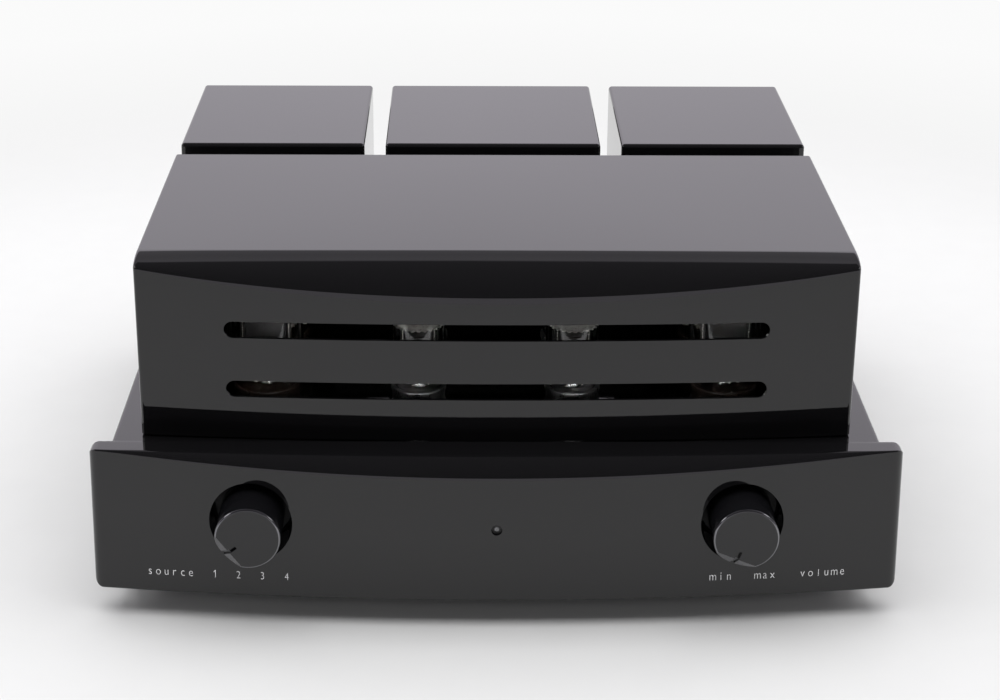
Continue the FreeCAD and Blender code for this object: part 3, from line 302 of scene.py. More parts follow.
def dress(obj, material, slot, nodes=(), body=AMPLIFIER, angle=35, weighted=False):
    """Give a piece its finish and its body, and hide the nodes that it stands for."""
    obj.data.materials.clear()
    obj.data.materials.append(material)
    for polygon in obj.data.polygons:
        polygon.material_index = 0
    shade(obj.data, angle)
    if weighted:
        weigh_normals(obj)
    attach(obj, body)
    if nodes:
        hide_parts(*nodes)


def add_piece(name, bm, material, slot, nodes=(), **how):
    """Make a finished bmesh a piece of the amplifier."""
    dress(make_object(name, bm), material, slot, nodes, **how)


def turned_set(profile, frames, segments, closed=False):
    """A bmesh with one turned part at each of several frames."""
    bm = bmesh.new()
    for matrix in frames:
        lathe(bm, profile, matrix, segments, closed)
    return bm


def lathe(bm, profile, matrix=Matrix(), segments=64, closed=False):
    """Turn (radius, height) points about Z. A closed profile makes a ring.

    A radius may be a function of the angle, for a ring that isn't round.
    """
    rings = []
    for radius, height in profile:
        if not callable(radius) and radius < 1e-9:
            rings.append([bm.verts.new(matrix @ Vector((0, 0, height)))])
            continue
        ring = []
        for i in range(segments):
            angle = TAU * i / segments
            reach = radius(angle) if callable(radius) else radius
            ring.append(bm.verts.new(matrix @ Vector((reach * math.cos(angle),
                                                      reach * math.sin(angle), height))))
        rings.append(ring)
    pairs = list(zip(rings, rings[1:]))
    if closed:
        pairs.append((rings[-1], rings[0]))
    for one, two in pairs:
        for i in range(segments):
            j = (i + 1) % segments
            corners = [one[i % len(one)], one[j % len(one)], two[j % len(two)], two[i % len(two)]]
            face = [v for k, v in enumerate(corners) if v not in corners[:k]]
            if len(face) > 2:
                bm.faces.new(face)


def arc(centre_r, centre_z, radius, start, end, steps):
    """Points of an arc in a profile, angles in degrees from +radius towards +height."""
    points = []
    for i in range(steps + 1):
        angle = math.radians(start + (end - start) * i / steps)
        points.append((centre_r + radius * math.cos(angle), centre_z + radius * math.sin(angle)))
    return points


def block(bm, low, high, edge=0, segments=2):
    """A box between two corners, with rounded edges."""
    centre = [(a + b) / 2 for a, b in zip(low, high)]
    size = [b - a for a, b in zip(low, high)]
    matrix = Matrix.Translation(centre) @ Matrix.Diagonal((*size, 1))
    made = bmesh.ops.create_cube(bm, size=1, matrix=matrix)
    if edge:
        edges = list({e for v in made["verts"] for e in v.link_edges})
        bmesh.ops.bevel(bm, geom=edges, offset=edge, segments=segments, profile=0.5,
                        affect="EDGES")


def tube_along(bm, start, end, radius, segments=16):
    """A straight round rod between two points."""
    start, end = Vector(start), Vector(end)
    turn = (end - start).to_track_quat("Z", "Y").to_matrix().to_4x4()
    matrix = Matrix.Translation(start) @ turn
    length = (end - start).length
    lathe(bm, [(0, 0), (radius, 0), (radius, length), (0, length)], matrix, segments)


def facing_rear(x, y, z):
    """A frame whose Z axis points to the rear, for turned parts on the rear panel."""
    return Matrix.Translation((x, y, z)) @ Matrix.Rotation(-math.pi / 2, 4, "X")


def facing_front(x, y, z):
    """A frame whose Z axis points to the front."""
    return Matrix.Translation((x, y, z)) @ Matrix.Rotation(math.pi / 2, 4, "X")


def cylinder_cutter(name, matrix, radius, length, segments=128):
    """A round bar along the matrix's Z axis, to cut with."""
    profile = [(0, 0), (radius, 0), (radius, length), (0, length)]
    return make_object(name, turned_set(profile, [matrix], segments))


def prism(bm, ring, other):
    """A solid between two like rings of points."""
    one = [bm.verts.new(point) for point in ring]
    two = [bm.verts.new(point) for point in other]
    for i in range(len(one)):
        j = (i + 1) % len(one)
        bm.faces.new((one[i], one[j], two[j], two[i]))
    bm.faces.new(one)
    bm.faces.new(list(reversed(two)))


# ---------------- bowed shells

class Bowed(namedtuple("Bowed", "half end_y bow roll_y back_y low high corner edge tip "
                                "flatten squat lean", defaults=(0, 1, 0))):
    """A shell bowed in plan, whose top front edge rolls over from a straight line.

    Its front stands at end_y at both ends and by bow further out in the middle, and the roll
    meets the flat top at roll_y. corner, edge and tip are the radii of the upright front
    corners, the small edges and the two ends. squat is the roll's height over its depth,
    flatten times the bow comes off its height at the ends, and lean is how far the foot of the
    front stands out.
    """

    @property
    def plan_radius(self):
        """The radius of the front's arc in plan."""
        return (self.half ** 2 + self.bow ** 2) / (2 * self.bow)

    def front(self, x):
        """The front surface's Y at x."""
        depth = self.plan_radius - math.sqrt(self.plan_radius ** 2 - x ** 2)
        return self.end_y - self.bow + depth

    def roll_depth(self, x):
        """How far the roll reaches back from the front at x, never less than its edge."""
        distance = self.roll_y - self.front(x)
        return (distance + math.sqrt(distance ** 2 + (2 * MM) ** 2)) / 2

    def face(self, x, z):
        """The leaning front surface's Y at x and z, below the roll."""
        roll_foot = self.high - self.roll_depth(x)
        return self.front(x) - self.lean * (roll_foot - z) / (roll_foot - self.low - self.edge)

    def stations(self, inset):
        """Where the shell is sectioned along X, close together at its ends."""
        flat = self.half - inset - self.corner
        inner = [flat * i / 60 for i in range(61)]
        outer = [flat + self.corner * math.sin(math.radians(a)) for a in range(9, 91, 9)]
        right = inner + outer
        return [-x for x in reversed(right[1:])] + right

    def outline(self, x, inset, closed):
        """One section from the front's foot over the top and down the back, as (y, z)."""
        half = self.half - inset
        flat = half - self.corner
        along = min(abs(x), flat)
        past = max(abs(x) - flat, 0)
        recede = self.corner - math.sqrt(max(self.corner ** 2 - past ** 2, 0))
        over = max(abs(x) - (half - self.tip), 0)
        shrink = self.tip - math.sqrt(max(self.tip ** 2 - over ** 2, 0))
        front_y = self.front(along) + recede + inset
        roll = max(self.roll_depth(along) - inset - shrink, 0.3 * MM)
        drop = self.squat * roll - self.flatten * (self.front(along) - self.front(0))
        drop = max(drop, 0.3 * MM)
        top = self.high - inset - shrink
        back = self.back_y - inset - shrink
        small = max(self.edge - inset, 0.3 * MM)
        foot = small if closed else 0
        low = self.low + (shrink if closed else 0)
        toe_y = front_y - self.lean
        points = []
        if closed:
            points += arc(toe_y + foot, low + foot, foot, 270, 180, 4)
        else:
            points.append((toe_y, low))
        start = points[-1][1]
        points += [(toe_y + self.lean * i / 10, start + (top - drop - start) * i / 10)
                   for i in range(1, 10)]
        points += [(y, top + (z - top) * drop / roll)
                   for y, z in arc(front_y + roll, top - roll, roll, 180, 90, 20)]
        points += [(front_y + roll + (back - small - front_y - roll) * i / 4, top)
                   for i in range(1, 4)]
        points += arc(back - small, top - small, small, 90, 0, 4)
        if closed:
            points += arc(back - foot, low + foot, foot, 0, -90, 4)
        else:
            points.append((back, low))
        return points

    def grid(self, bm, inset, closed):
        """Add the shell's skin and its two end faces. Returns the rows of vertices."""
        rows = []
        for x in self.stations(inset):
            outline = self.outline(x, inset, closed)
            rows.append([bm.verts.new((x, y, z)) for y, z in outline])
        count = len(rows[0])
        last = count if closed else count - 1
        for one, two in zip(rows, rows[1:]):
            for i in range(last):
                j = (i + 1) % count
                bm.faces.new((one[i], one[j], two[j], two[i]))
        bm.faces.new(rows[0])
        bm.faces.new(list(reversed(rows[-1])))
        return rows

    def solid(self, name):
        """A closed piece of this form."""
        bm = bmesh.new()
        self.grid(bm, 0, True)
        return make_object(name, bm)

    def hollow(self, name, wall):
        """A shell open below, with a wall of even thickness."""
        bm = bmesh.new()
        outer = self.grid(bm, 0, False)
        inner = self.grid(bm, wall, False)
        for edge in (0, -1):
            for i in range(len(outer) - 1):
                bm.faces.new((outer[i][edge], outer[i + 1][edge],
                              inner[i + 1][edge], inner[i][edge]))
        for row in (0, -1):
            bm.faces.new((outer[row][0], outer[row][-1], inner[row][-1], inner[row][0]))
        return make_object(name, bm)


FACE = Bowed(half=FACE_HIGH[0], end_y=-175.5 * MM, bow=14 * MM, roll_y=-176.6 * MM,
             back_y=-164.5 * MM, low=FACE_LOW[2], high=FACE_HIGH[2], corner=6 * MM,
             edge=1.2 * MM, tip=4.5 * MM, lean=5 * MM)
FACE_TILT = math.atan(FACE.lean / (FACE.high - FACE.low - FACE.roll_y + FACE.front(0)))
CAGE = Bowed(half=190.5 * MM, end_y=-149.5 * MM, bow=7.9 * MM, roll_y=-132.8 * MM,
             back_y=28 * MM, low=DECK + 1.2 * MM, high=CAGE_TOP, corner=2.5 * MM,
             edge=1.6 * MM, tip=1.6 * MM, flatten=1.25, squat=0.88)
KNOB_JOINTS = ("source_turn", "volume_turn")
RECESS_RADIUS = 22 * MM


def faceplate():
    """The front: black lacquer, with a through recess for each knob and the lamp's hole."""
    plate = FACE.solid("front_plate")
    behind = FACE.back_y + 10 * MM
    reach = FACE.back_y - FACE.front(0) + 30 * MM
    cutters = []
    for joint in KNOB_JOINTS:
        x, _, z = JOINTS[joint]["pos_m"]
        cutters.append(cylinder_cutter(f"recess_{joint}", facing_front(x, behind, z),
                                       RECESS_RADIUS, reach))
    x, _, z = middle("lamp_holder")
    cutters.append(cylinder_cutter("lamp_hole", facing_front(x, behind, z), 2.9 * MM, reach, 48))
    carve(plate, cutters)
    dress(plate, LACQUER, "black_lacquer", ("faceplate",), angle=30, weighted=True)


SLOT_HALF = 143.8 * MM
# The bottom and top of each slot, above the faceplate's top edge.
SLOT_HEIGHTS = {"upper_slot": (54.1 * MM, 63.5 * MM), "lower_slot": (20.1 * MM, 29.6 * MM)}
CAGE_WALL = 2 * MM
REAR_GAP = 6 * MM


def slot_cutter(name, low, high):
    """A long round-ended bar through the cage's front and rear walls."""
    radius, middle_z = (high - low) / 2, (high + low) / 2
    outline = []
    for side, start in ((1, -90), (-1, 90)):
        outline += arc(side * (SLOT_HALF - radius), middle_z, radius, start, start + 180, 24)
    front, back = CAGE.front(0) - 10 * MM, CAGE.back_y + 10 * MM
    bm = bmesh.new()
    prism(bm, [(x, front, z) for x, z in outline], [(x, back, z) for x, z in outline])
    return make_object(name, bm)


def tube_cage():
    """The lift-off cage: two slots in front, two behind, and a gap along its rear foot."""
    cage = CAGE.hollow("cage_shell", CAGE_WALL)
    cutters = [slot_cutter(name, FACE.high + low, FACE.high + high)
               for name, (low, high) in SLOT_HEIGHTS.items()]
    bm = bmesh.new()
    block(bm, (-SLOT_HALF, CAGE.back_y - 2 * CAGE_WALL, CAGE.low - CAGE_WALL),
          (SLOT_HALF, CAGE.back_y + CAGE_WALL, CAGE.low + REAR_GAP))
    cutters.append(make_object("rear_gap", bm))
    carve(cage, cutters)
    dress(cage, LACQUER, "black_lacquer", ("tube_cage",), "cage", 30, True)


# ---------------- transformer covers

def transformer_cover(word):
    """A cover with rounded outer edges, open below."""
    node = f"{word}_transformer_cover"
    low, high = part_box(node)
    bm = bmesh.new()
    block(bm, low, high)
    upper = [e for e in bm.edges if max(v.co.z for v in e.verts) > low[2] + MM]
    bmesh.ops.bevel(bm, geom=upper, offset=2.2 * MM, segments=6, profile=0.5, affect="EDGES")
    under = [f for f in bm.faces if all(v.co.z < low[2] + SMALL for v in f.verts)]
    bmesh.ops.delete(bm, geom=under, context="FACES_ONLY")
    cover = make_object(f"{word}_cover_shell", bm)
    wall = cover.modifiers.new("Wall", "SOLIDIFY")
    wall.thickness = 1.6 * MM
    wall.offset = -1
    wall.use_even_offset = True
    settle(cover)
    dress(cover, LACQUER, "black_lacquer", (node,), angle=40, weighted=True)


# ---------------- knobs and the lamp

KNOB_RADIUS = 17.25 * MM
KNOB_LENGTH = 33 * MM
KNOB_OVER = KNOB_RADIUS + 2 * MM
BORE_RADIUS = 3.05 * MM
BORE_DEPTH = 14 * MM
FACET = 12.4 * MM


def knob_cut(name, half, inner, depth):
    """A wedge that cuts a knob's slanted facet or, with a depth, the pointer slot below it."""
    above = KNOB_LENGTH + 3 * MM
    side = [(inner, above), (KNOB_OVER, above),
            (KNOB_OVER, KNOB_LENGTH + FACET - KNOB_OVER - depth), (FACET, KNOB_LENGTH - depth)]
    if depth:
        side.append((inner, KNOB_LENGTH - depth))
    bm = bmesh.new()
    prism(bm, [(-half, y, z) for y, z in side], [(half, y, z) for y, z in side])
    return make_object(name, bm)


def knob(joint, body, node, turned, name):
    """A turned knob with a rounded rim, a slanted facet and a pointer slot in it."""
    x, _, z = JOINTS[joint]["pos_m"]
    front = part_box(node)[0][1]
    rim, edge = 1.2 * MM, 0.4 * MM
    profile = [(0, BORE_DEPTH), (BORE_RADIUS, BORE_DEPTH), (BORE_RADIUS, 0)]
    profile += arc(KNOB_RADIUS - edge, edge, edge, -90, 0, 3)
    profile += arc(KNOB_RADIUS - rim, KNOB_LENGTH - rim, rim, 0, 90, 8)
    profile += [(KNOB_RADIUS - 3 * MM, KNOB_LENGTH), (0, KNOB_LENGTH)]
    obj = make_object(name, turned_set(profile, [Matrix()], 144))
    hole = Matrix.Translation((0, 0, 7 * MM)) @ Matrix.Rotation(-math.pi / 2, 4, "Y")
    carve(obj, [knob_cut(f"{name}_facet", KNOB_OVER, FACET, 0),
                knob_cut(f"{name}_slot", 1.15 * MM, FACET - 4.6 * MM, 2.2 * MM),
                cylinder_cutter(f"{name}_screw_hole", hole, 1.55 * MM, KNOB_OVER, 32)])
    spin = Matrix.Rotation(math.radians(turned), 4, "Y")
    upright = Matrix.Rotation(math.pi / 2, 4, "X") @ Matrix.Rotation(math.pi, 4, "Z")
    matrix = Matrix.Translation((x, front + KNOB_LENGTH, z)) @ spin @ upright
    obj.data.transform(matrix)
    dress(obj, KNOB, "knob_black", (node,), body, 28, True)
    # The facet takes the lighter grey of painted sheen; the front rim takes the burnished metal.
    obj.data.materials.append(FACET_SHEEN)
    obj.data.materials.append(RIM)
    slope = (matrix.to_3x3() @ Vector((0, 1, 1))).normalized()
    for polygon in obj.data.polygons:
        if polygon.normal.dot(slope) > 0.999:
            polygon.material_index = 1
        elif -0.98 < polygon.normal.y < -0.08 and polygon.center.y < front + rim + 0.1 * MM:
            polygon.material_index = 2


def recess_shade_rings():
    """Matt black rings at the bottom of the two knob recesses: painted shade that keeps each
    recess evenly dark.
    """
    outer, inner = RECESS_RADIUS - 0.1 * MM, 6.5 * MM
    profile = [(inner, 0), (outer, 0), (outer, 1.6 * MM), (outer - 0.6 * MM, 1.9 * MM),
               (outer - 1.1 * MM, 0.7 * MM), (inner + 0.5 * MM, 0.7 * MM), (inner, 0.5 * MM)]
    places = [JOINTS[joint]["pos_m"] for joint in KNOB_JOINTS]
    frames = [facing_front(x, FACE.back_y, z) for x, _, z in places]
    add_piece("recess_shade_rings", turned_set(profile, frames, 128, True), DARK, "holder_black")


def lamp():
    """The unlit lamp's domed lens."""
    x, _, z = middle("power_lamp")
    low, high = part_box("power_lamp")
    radius = 1.5 * MM
    length = high[1] - low[1]
    dome = length - 0.8 * MM
    profile = [(0, 0), (radius, 0), (radius, dome)]
    profile += arc(0, dome, radius, 20, 90, 6)[1:-1]
    profile.append((0, length))
    profile = [(r, min(h, length)) for r, h in profile]
    lens = turned_set(profile, [facing_front(x, high[1], z)], 32)
    add_piece("lamp_lens", lens, LENS, "lamp_clear", ("power_lamp",))


# ---------------- lettering

GLYPH_HEIGHT = 0.7
STROKE = 0.075
NARROW = 0.8
# Each word with the X of its first letter, its pitch and its height, in millimetres.
FRONT_WORDS = (("source", -184.3, 4.38, 4.9), ("1", -149.6, 0, 4.3), ("2", -136.9, 0, 4.3),
               ("3", -124.1, 0, 4.3), ("4", -111.2, 0, 4.3), ("min", 115, 4.3, 4.9),
               ("max", 139, 4, 4.9), ("volume", 163.3, 4.3, 4.9))


def flagged_one():
    """The outline of a 1 with a flag, which the built-in letters lack."""
    curve = bpy.data.curves.new("one", "CURVE")
    curve.dimensions = "2D"
    curve.fill_mode = "BOTH"
    corners = ((0, 0), (STROKE, 0), (STROKE, GLYPH_HEIGHT), (0.01, GLYPH_HEIGHT),
               (-0.15, GLYPH_HEIGHT - 0.14), (-0.15, GLYPH_HEIGHT - 0.24),
               (0, GLYPH_HEIGHT - 0.12))
    spline = curve.splines.new("POLY")
    spline.points.add(len(corners) - 1)
    for point, (x, y) in zip(spline.points, corners):
        point.co = (x, y, 0, 1)
    spline.use_cyclic_u = True
    return curve


def glyph(bm, character, height, matrix):
    """Add one character of raised ink, its baseline on the matrix's origin, centred on X."""
    if character == "1":
        curve = flagged_one()
    else:
        curve = bpy.data.curves.new("glyph", "FONT")
        curve.body = character
        curve.resolution_u = 4
        curve.offset = -0.012
    curve.extrude = SMALL
    obj = bpy.data.objects.new("glyph", curve)
    bpy.context.collection.objects.link(obj)
    depsgraph = bpy.context.evaluated_depsgraph_get()
    mesh = bpy.data.meshes.new_from_object(obj.evaluated_get(depsgraph))
    bpy.data.objects.remove(obj)
    xs = [v.co.x for v in mesh.vertices]
    scale = height / GLYPH_HEIGHT
    centre = (min(xs) + max(xs)) / 2
    fit = Matrix.Diagonal((scale * NARROW, scale, 1, 1)) @ Matrix.Translation((-centre, 0, 0))
    mesh.transform(matrix @ fit)
    bm.from_mesh(mesh)
    bmesh.ops.remove_doubles(bm, verts=bm.verts, dist=0.1 * SMALL)
    bpy.data.meshes.remove(mesh)


def word_on_front(bm, word, x, z, pitch, height):
    """A widely spaced word on the bowed front, x being the middle of its first letter."""
    for i, character in enumerate(word):
        at = x + pitch * i
        slope = math.asin(at / FACE.plan_radius)
        place = Matrix.Translation((at, FACE.face(at, z), z))
        turn = Matrix.Rotation(slope, 4, "Z") @ Matrix.Rotation(math.pi / 2 - FACE_TILT, 4, "X")
        glyph(bm, character, height, place @ turn)


def front_lettering():
    """What the two knobs do, printed below them."""
    z = FACE.high - 69.6 * MM
    bm = bmesh.new()
    for word, x, pitch, height in FRONT_WORDS:
        word_on_front(bm, word, x * MM, z, pitch * MM, height * MM)
    add_piece("front_lettering", bm, INK, "black_lacquer")


def word_on_rear(bm, word, x, z, pitch, height):
    """A word on the flat rear panel, read from behind, centred on x."""
    for i, character in enumerate(word):
        if character == " ":
            continue
        at = x - pitch * (i - (len(word) - 1) / 2)
        place = Matrix.Translation((at, REAR, z))
        turn = Matrix.Rotation(math.pi, 4, "Z") @ Matrix.Rotation(math.pi / 2, 4, "X")
        glyph(bm, character, height, place @ turn)


# ---------------- tubes

TUBE_PIECES = bpy.data.collections.new("tube_pieces")
Tube = namedtuple("Tube", "base neck bulb plate_x plate_y plate_height collar")
TUBES = {
    "power": Tube(18.4 * MM, 16.6 * MM, 20.4 * MM, 11 * MM, 7 * MM, 40 * MM, BAKELITE),
    "driver": Tube(15.3 * MM, 13.2 * MM, 14.9 * MM, 7 * MM, 4.5 * MM, 28 * MM, COLLAR),
}


def tube_centres(kind):
    """The four positions of one kind of tube."""
    return corners_within(f"{kind}_tube_bases", TUBES[kind].base)


def tube_base(bm, at, low, high, radius):
    """A moulded base with a waist, a rim and its locating spigot below."""
    seat = DECK + 1.6 * MM
    spigot = 4 * MM
    waist = radius - 0.7 * MM
    profile = [(0, low), (spigot - 0.6 * MM, low), (spigot, low + 0.8 * MM), (spigot, seat)]
    profile += arc(radius - 0.8 * MM, seat + 0.8 * MM, 0.8 * MM, -90, 0, 4)
    profile += [(radius, seat + 2.4 * MM), (waist, seat + 3 * MM)]
    profile += [(waist, high - 3.2 * MM), (radius, high - 2.6 * MM)]
    profile += arc(radius - 0.6 * MM, high - 0.6 * MM, 0.6 * MM, 0, 90, 4)
    profile += [(radius - 1.6 * MM, high), (radius - 2 * MM, high - 0.4 * MM),
                (0, high - 0.4 * MM)]
    lathe(bm, profile, at, 80)


def bulb_profile(low, high, tube, inset):
    """A bulb's outline: rounded shoulders above the neck and a domed top."""
    foot = 0.42 * tube.bulb
    dome = 0.62 * tube.bulb
    points = [(tube.neck - inset, low)]
    for i in range(1, 9):
        ease = math.sin(i / 8 * math.pi / 2)
        points.append((tube.neck + (tube.bulb - tube.neck) * ease - inset, low + foot * i / 8))
    points.append((tube.bulb - inset, high - dome))
    for i in range(1, 17):
        angle = math.pi / 2 * i / 16
        across = (tube.bulb - inset) * math.cos(angle) ** 0.8
        points.append((across if i < 16 else 0, high - dome + (dome - inset) * math.sin(angle)))
    return points


def tube_glass(bm, at, low, high, tube):
    """A thin-walled bulb, closed along its foot."""
    outside = bulb_profile(low, high, tube, 0)
    inside = bulb_profile(low, high, tube, 0.9 * MM)
    lathe(bm, outside + list(reversed(inside)), at, 96, closed=True)


def getter_cap(bm, at, low, high, tube):
    """The silvered inside of the dome, a thin layer a hair inside the glass."""
    skins = []
    for inset in (1 * MM, 1.2 * MM):
        skins.append([point for point in bulb_profile(low, high, tube, inset)
                      if point[1] > high - 0.52 * tube.bulb])
    lathe(bm, list(reversed(skins[0])) + skins[1], at, 64)


def mica_disc(bm, x, y, z, radius):
    """A thin spacer with a toothed edge that touches the glass."""
    corners, thickness, notch = 96, 0.6 * MM, 1.4 * MM
    outline = []
    for i in range(corners):
        reach = radius if i % 4 < 2 else radius - notch
        angle = TAU * i / corners
        outline.append((x + reach * math.cos(angle), y + reach * math.sin(angle)))
    prism(bm, [(*point, z) for point in outline], [(*point, z + thickness) for point in outline])


def anode(bm, x, y, low, high, tube):
    """A folded plate box with ribs, and the two flanges where its halves are crimped."""
    half_x, half_y = tube.plate_x, tube.plate_y
    block(bm, (x - half_x, y - half_y, low), (x + half_x, y + half_y, high), 1.6 * MM, 3)
    for side in (-1, 1):
        inner, outer = sorted((side * half_x, side * (half_x + 3 * MM)))
        block(bm, (x + inner, y - 0.5 * MM, low + MM), (x + outer, y + 0.5 * MM, high - MM))
        for share in (0.25, 0.5, 0.75):
            z = low + (high - low) * share
            near, far = sorted((side * (half_y - 0.2 * MM), side * (half_y + 0.9 * MM)))
            block(bm, (x - half_x * 0.7, y + near, z - 0.8 * MM),
                  (x + half_x * 0.7, y + far, z + 0.8 * MM), 0.4 * MM)


def tube_wires(bm, x, y, low, high, tube):
    """The support rods, the press stem's leads and the getter's ring."""
    for side in (-1, 1):
        rod = x + side * (tube.plate_x + 1.6 * MM)
        tube_along(bm, (rod, y, low), (rod, y, high + 2.4 * MM), 0.55 * MM)
        for other in (-1, 1):
            tube_along(bm, (x + side * 2.6 * MM, y + other * 2.6 * MM, low - 7 * MM),
                       (x + side * tube.plate_x * 0.6, y + other * tube.plate_y * 0.5, low),
                       0.4 * MM)
    ring = 0.34 * tube.bulb
    top = high + 5 * MM
    wire = arc(ring, top, 0.5 * MM, 0, 360, 8)[:-1]
    lathe(bm, wire, Matrix.Translation((x, y, 0)), 24, closed=True)
    tube_along(bm, (x + ring, y, high), (x + ring, y, top), 0.4 * MM)


def tubes(kind):
    """All four tubes of one kind: bases, bulbs, getters and what stands in the bulbs."""
    tube = TUBES[kind]
    base_low, base_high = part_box(f"{kind}_tube_bases")
    low, high = (corner[2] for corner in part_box(f"{kind}_tube_envelopes"))
    plates_low = low + 7.6 * MM
    plates_high = plates_low + tube.plate_height
    stem = [(0, low), (6 * MM, low), (5 * MM, low + 3 * MM), (3.4 * MM, low + 6.2 * MM),
            (0, low + 6.8 * MM)]
    finishes = {"bases": (tube.collar, "base_black", (f"{kind}_tube_bases",)),
                "bulbs": (GLASS, "tube_glass", (f"{kind}_tube_envelopes",)),
                "getters": (GETTER, "anode_grey", ()),
                "anodes": (ANODE, "anode_grey", (f"{kind}_tube_electrodes",)),
                "micas": (MICA, "anode_grey", ()),
                "wires": (NICKEL, "anode_grey", ()),
                "stems": (GLASS, "tube_glass", ())}
    meshes = {name: bmesh.new() for name in finishes}
    for x, y in tube_centres(kind):
        at = Matrix.Translation((x, y, 0))
        tube_base(meshes["bases"], at, base_low[2], base_high[2], tube.base)
        tube_glass(meshes["bulbs"], at, low, high, tube)
        getter_cap(meshes["getters"], at, low, high, tube)
        anode(meshes["anodes"], x, y, plates_low, plates_high, tube)
        for z in (plates_low - 0.6 * MM, plates_high):
            mica_disc(meshes["micas"], x, y, z, tube.bulb - 1.3 * MM)
        tube_wires(meshes["wires"], x, y, plates_low, plates_high, tube)
        lathe(meshes["stems"], stem, at, 32)
    for name, (material, slot, nodes) in finishes.items():
        obj = make_object(f"{kind}_tube_{name}_detail", meshes[name])
        dress(obj, material, slot, nodes, angle=40)
        TUBE_PIECES.objects.link(obj)


def socket_rivets():
    """The two rivets that hold each tube socket's flange to the deck."""
    low, radius = 1.6 * MM, 1.3 * MM
    profile = [(0, low), (radius, low)] + arc(0, low, radius, 10, 80, 4)
    profile.append((0, 2.8 * MM))
    frames = [Matrix.Translation((x, y + offset, DECK)) for kind in TUBES
              for x, y in tube_centres(kind) for offset in (-15.4 * MM, 15.4 * MM)]
    add_piece("socket_rivets", turned_set(profile, frames, 16), NICKEL, "socket_black")


# ---------------- feet and screws

def feet():
    """Turned feet: a grooved body with a soft ring pressed into its underside."""
    radius = 20 * MM
    groove = radius - 0.8 * MM
    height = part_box("feet")[1][2]
    profile = [(5 * MM, 9 * MM), (5 * MM, 1 * MM), (11 * MM, 1 * MM)]
    profile += arc(radius - 1.5 * MM, 2.5 * MM, 1.5 * MM, -90, 0, 5)
    profile += [(radius, 5.6 * MM), (groove, 6.2 * MM), (groove, 7.4 * MM), (radius, 8 * MM)]
    profile += arc(radius - 0.6 * MM, height - 0.6 * MM, 0.6 * MM, 0, 90, 4)
    profile += [(2.15 * MM, height), (2.15 * MM, 9 * MM)]
    pad = [(8 * MM, 1.2 * MM), (8 * MM, 0), (16.5 * MM, 0), (17 * MM, 0.5 * MM),
           (17 * MM, 1.2 * MM)]
    frames = [Matrix.Translation((x, y, 0)) for x, y in corners_within("feet", radius)]
    add_piece("feet_turned", turned_set(profile, frames, 72, True), MOULDED, "foot_rubber",
              ("feet",))
    add_piece("feet_pads", turned_set(pad, frames, 72, True), RUBBER, "foot_rubber")


def cross(arm):
    """A cross-shaped ring: four arms of the given length, a fifth as wide each side."""
    corner = TAU / 32
    half = arm * math.tan(corner)

    def reach(angle):
        off = abs((angle + TAU / 8) % (TAU / 4) - TAU / 8)
        return arm / math.cos(off) if off < corner + SMALL else half / math.sin(off)

    return reach


def screw_head(bm, matrix, radius, height):
    """A pan head with a cross recess, its underside on the matrix's origin."""
    profile = [(0, 0), (radius, 0), (radius, height * 0.35)]
    profile += [(radius * 0.94, height * 0.68), (radius * 0.82, height * 0.9),
                (radius * 0.66, height), (cross(radius * 0.56), height)]
    profile += [(cross(radius * 0.4), height * 0.4), (0, height * 0.3)]
    lathe(bm, profile, matrix, 32)


def underside_screws():
    """The screws of the bottom plate, seen from below."""
    low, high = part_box("bottom_screws")
    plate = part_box("bottom_plate")[0][2]
    radius = 2.8 * MM
    bm = bmesh.new()
    for x, y in corners_within("bottom_screws", radius):
        matrix = Matrix.Translation((x, y, plate)) @ Matrix.Rotation(math.pi, 4, "X")
        screw_head(bm, matrix, radius, plate - low[2])
        tube_along(bm, (x, y, plate), (x, y, high[2]), 1.5 * MM)
    add_piece("bottom_screw_set", bm, BLACK_STEEL, "black_screw", ("bottom_screws",))


def panel_screws():
    """Small screws along the rear panel's edge."""
    outer, inner, margin = 197 * MM, 66 * MM, 6 * MM
    bm = bmesh.new()
    for x in (-outer, -inner, inner, outer):
        for z in (PANEL_LOW[2] + margin, PANEL_HIGH[2] - margin):
            screw_head(bm, facing_rear(x, REAR, z), 2.6 * MM, 1.4 * MM)
    add_piece("rear_panel_screws", bm, BLACK_STEEL, "black_screw")


# ---------------- rear fittings

def grid_of(node, across, up, radius):
    """Centres of a node's round parts that stand in a regular grid, as (x, z)."""
    low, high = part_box(node)
    width = high[0] - low[0] - 2 * radius
    tall = high[2] - low[2] - 2 * radius
    return [(low[0] + radius + width * i / max(across - 1, 1),
             low[2] + radius + tall * j / max(up - 1, 1))
            for i in range(across) for j in range(up)]


def input_jacks():
    """Gold phono jacks with a hexagon nut, a coloured insulator and a centre contact."""
    low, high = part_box("input_jack_shells")
    radius, bore = 4.2 * MM, 3.2 * MM
    inside, length = low[1] - REAR, high[1] - REAR
    profile = [(bore, length - 0.8 * MM), (bore, length), (radius - 0.4 * MM, length),
               (radius, length - 0.5 * MM), (radius, 3.4 * MM), (radius + 0.9 * MM, 3 * MM),
               (radius + 0.9 * MM, 1.7 * MM), (radius, 1.6 * MM), (radius, inside),
               (bore, inside)]
    hexagon = [(radius, 1.7 * MM), (radius + 1.9 * MM, 1.7 * MM), (radius + 1.9 * MM, 3.6 * MM),
               (radius, 3.6 * MM)]
    core = [(0, 2 * MM), (1.6 * MM, 2 * MM), (1.6 * MM, length - 0.6 * MM),
            (bore, length - 0.6 * MM), (bore, inside), (0, inside)]
    frames = [facing_rear(x, REAR, z) for x, z in grid_of("input_jack_shells", 4, 2, radius)]
    shells = turned_set(profile, frames, 48, True)
    for matrix in frames:
        lathe(shells, hexagon, matrix, 6, closed=True)
    add_piece("input_jack_set", shells, GOLD, "gold_plate", ("input_jack_shells",))
    add_piece("input_jack_cores", turned_set(core, frames, 40), WHITE_RING, "ring_white")


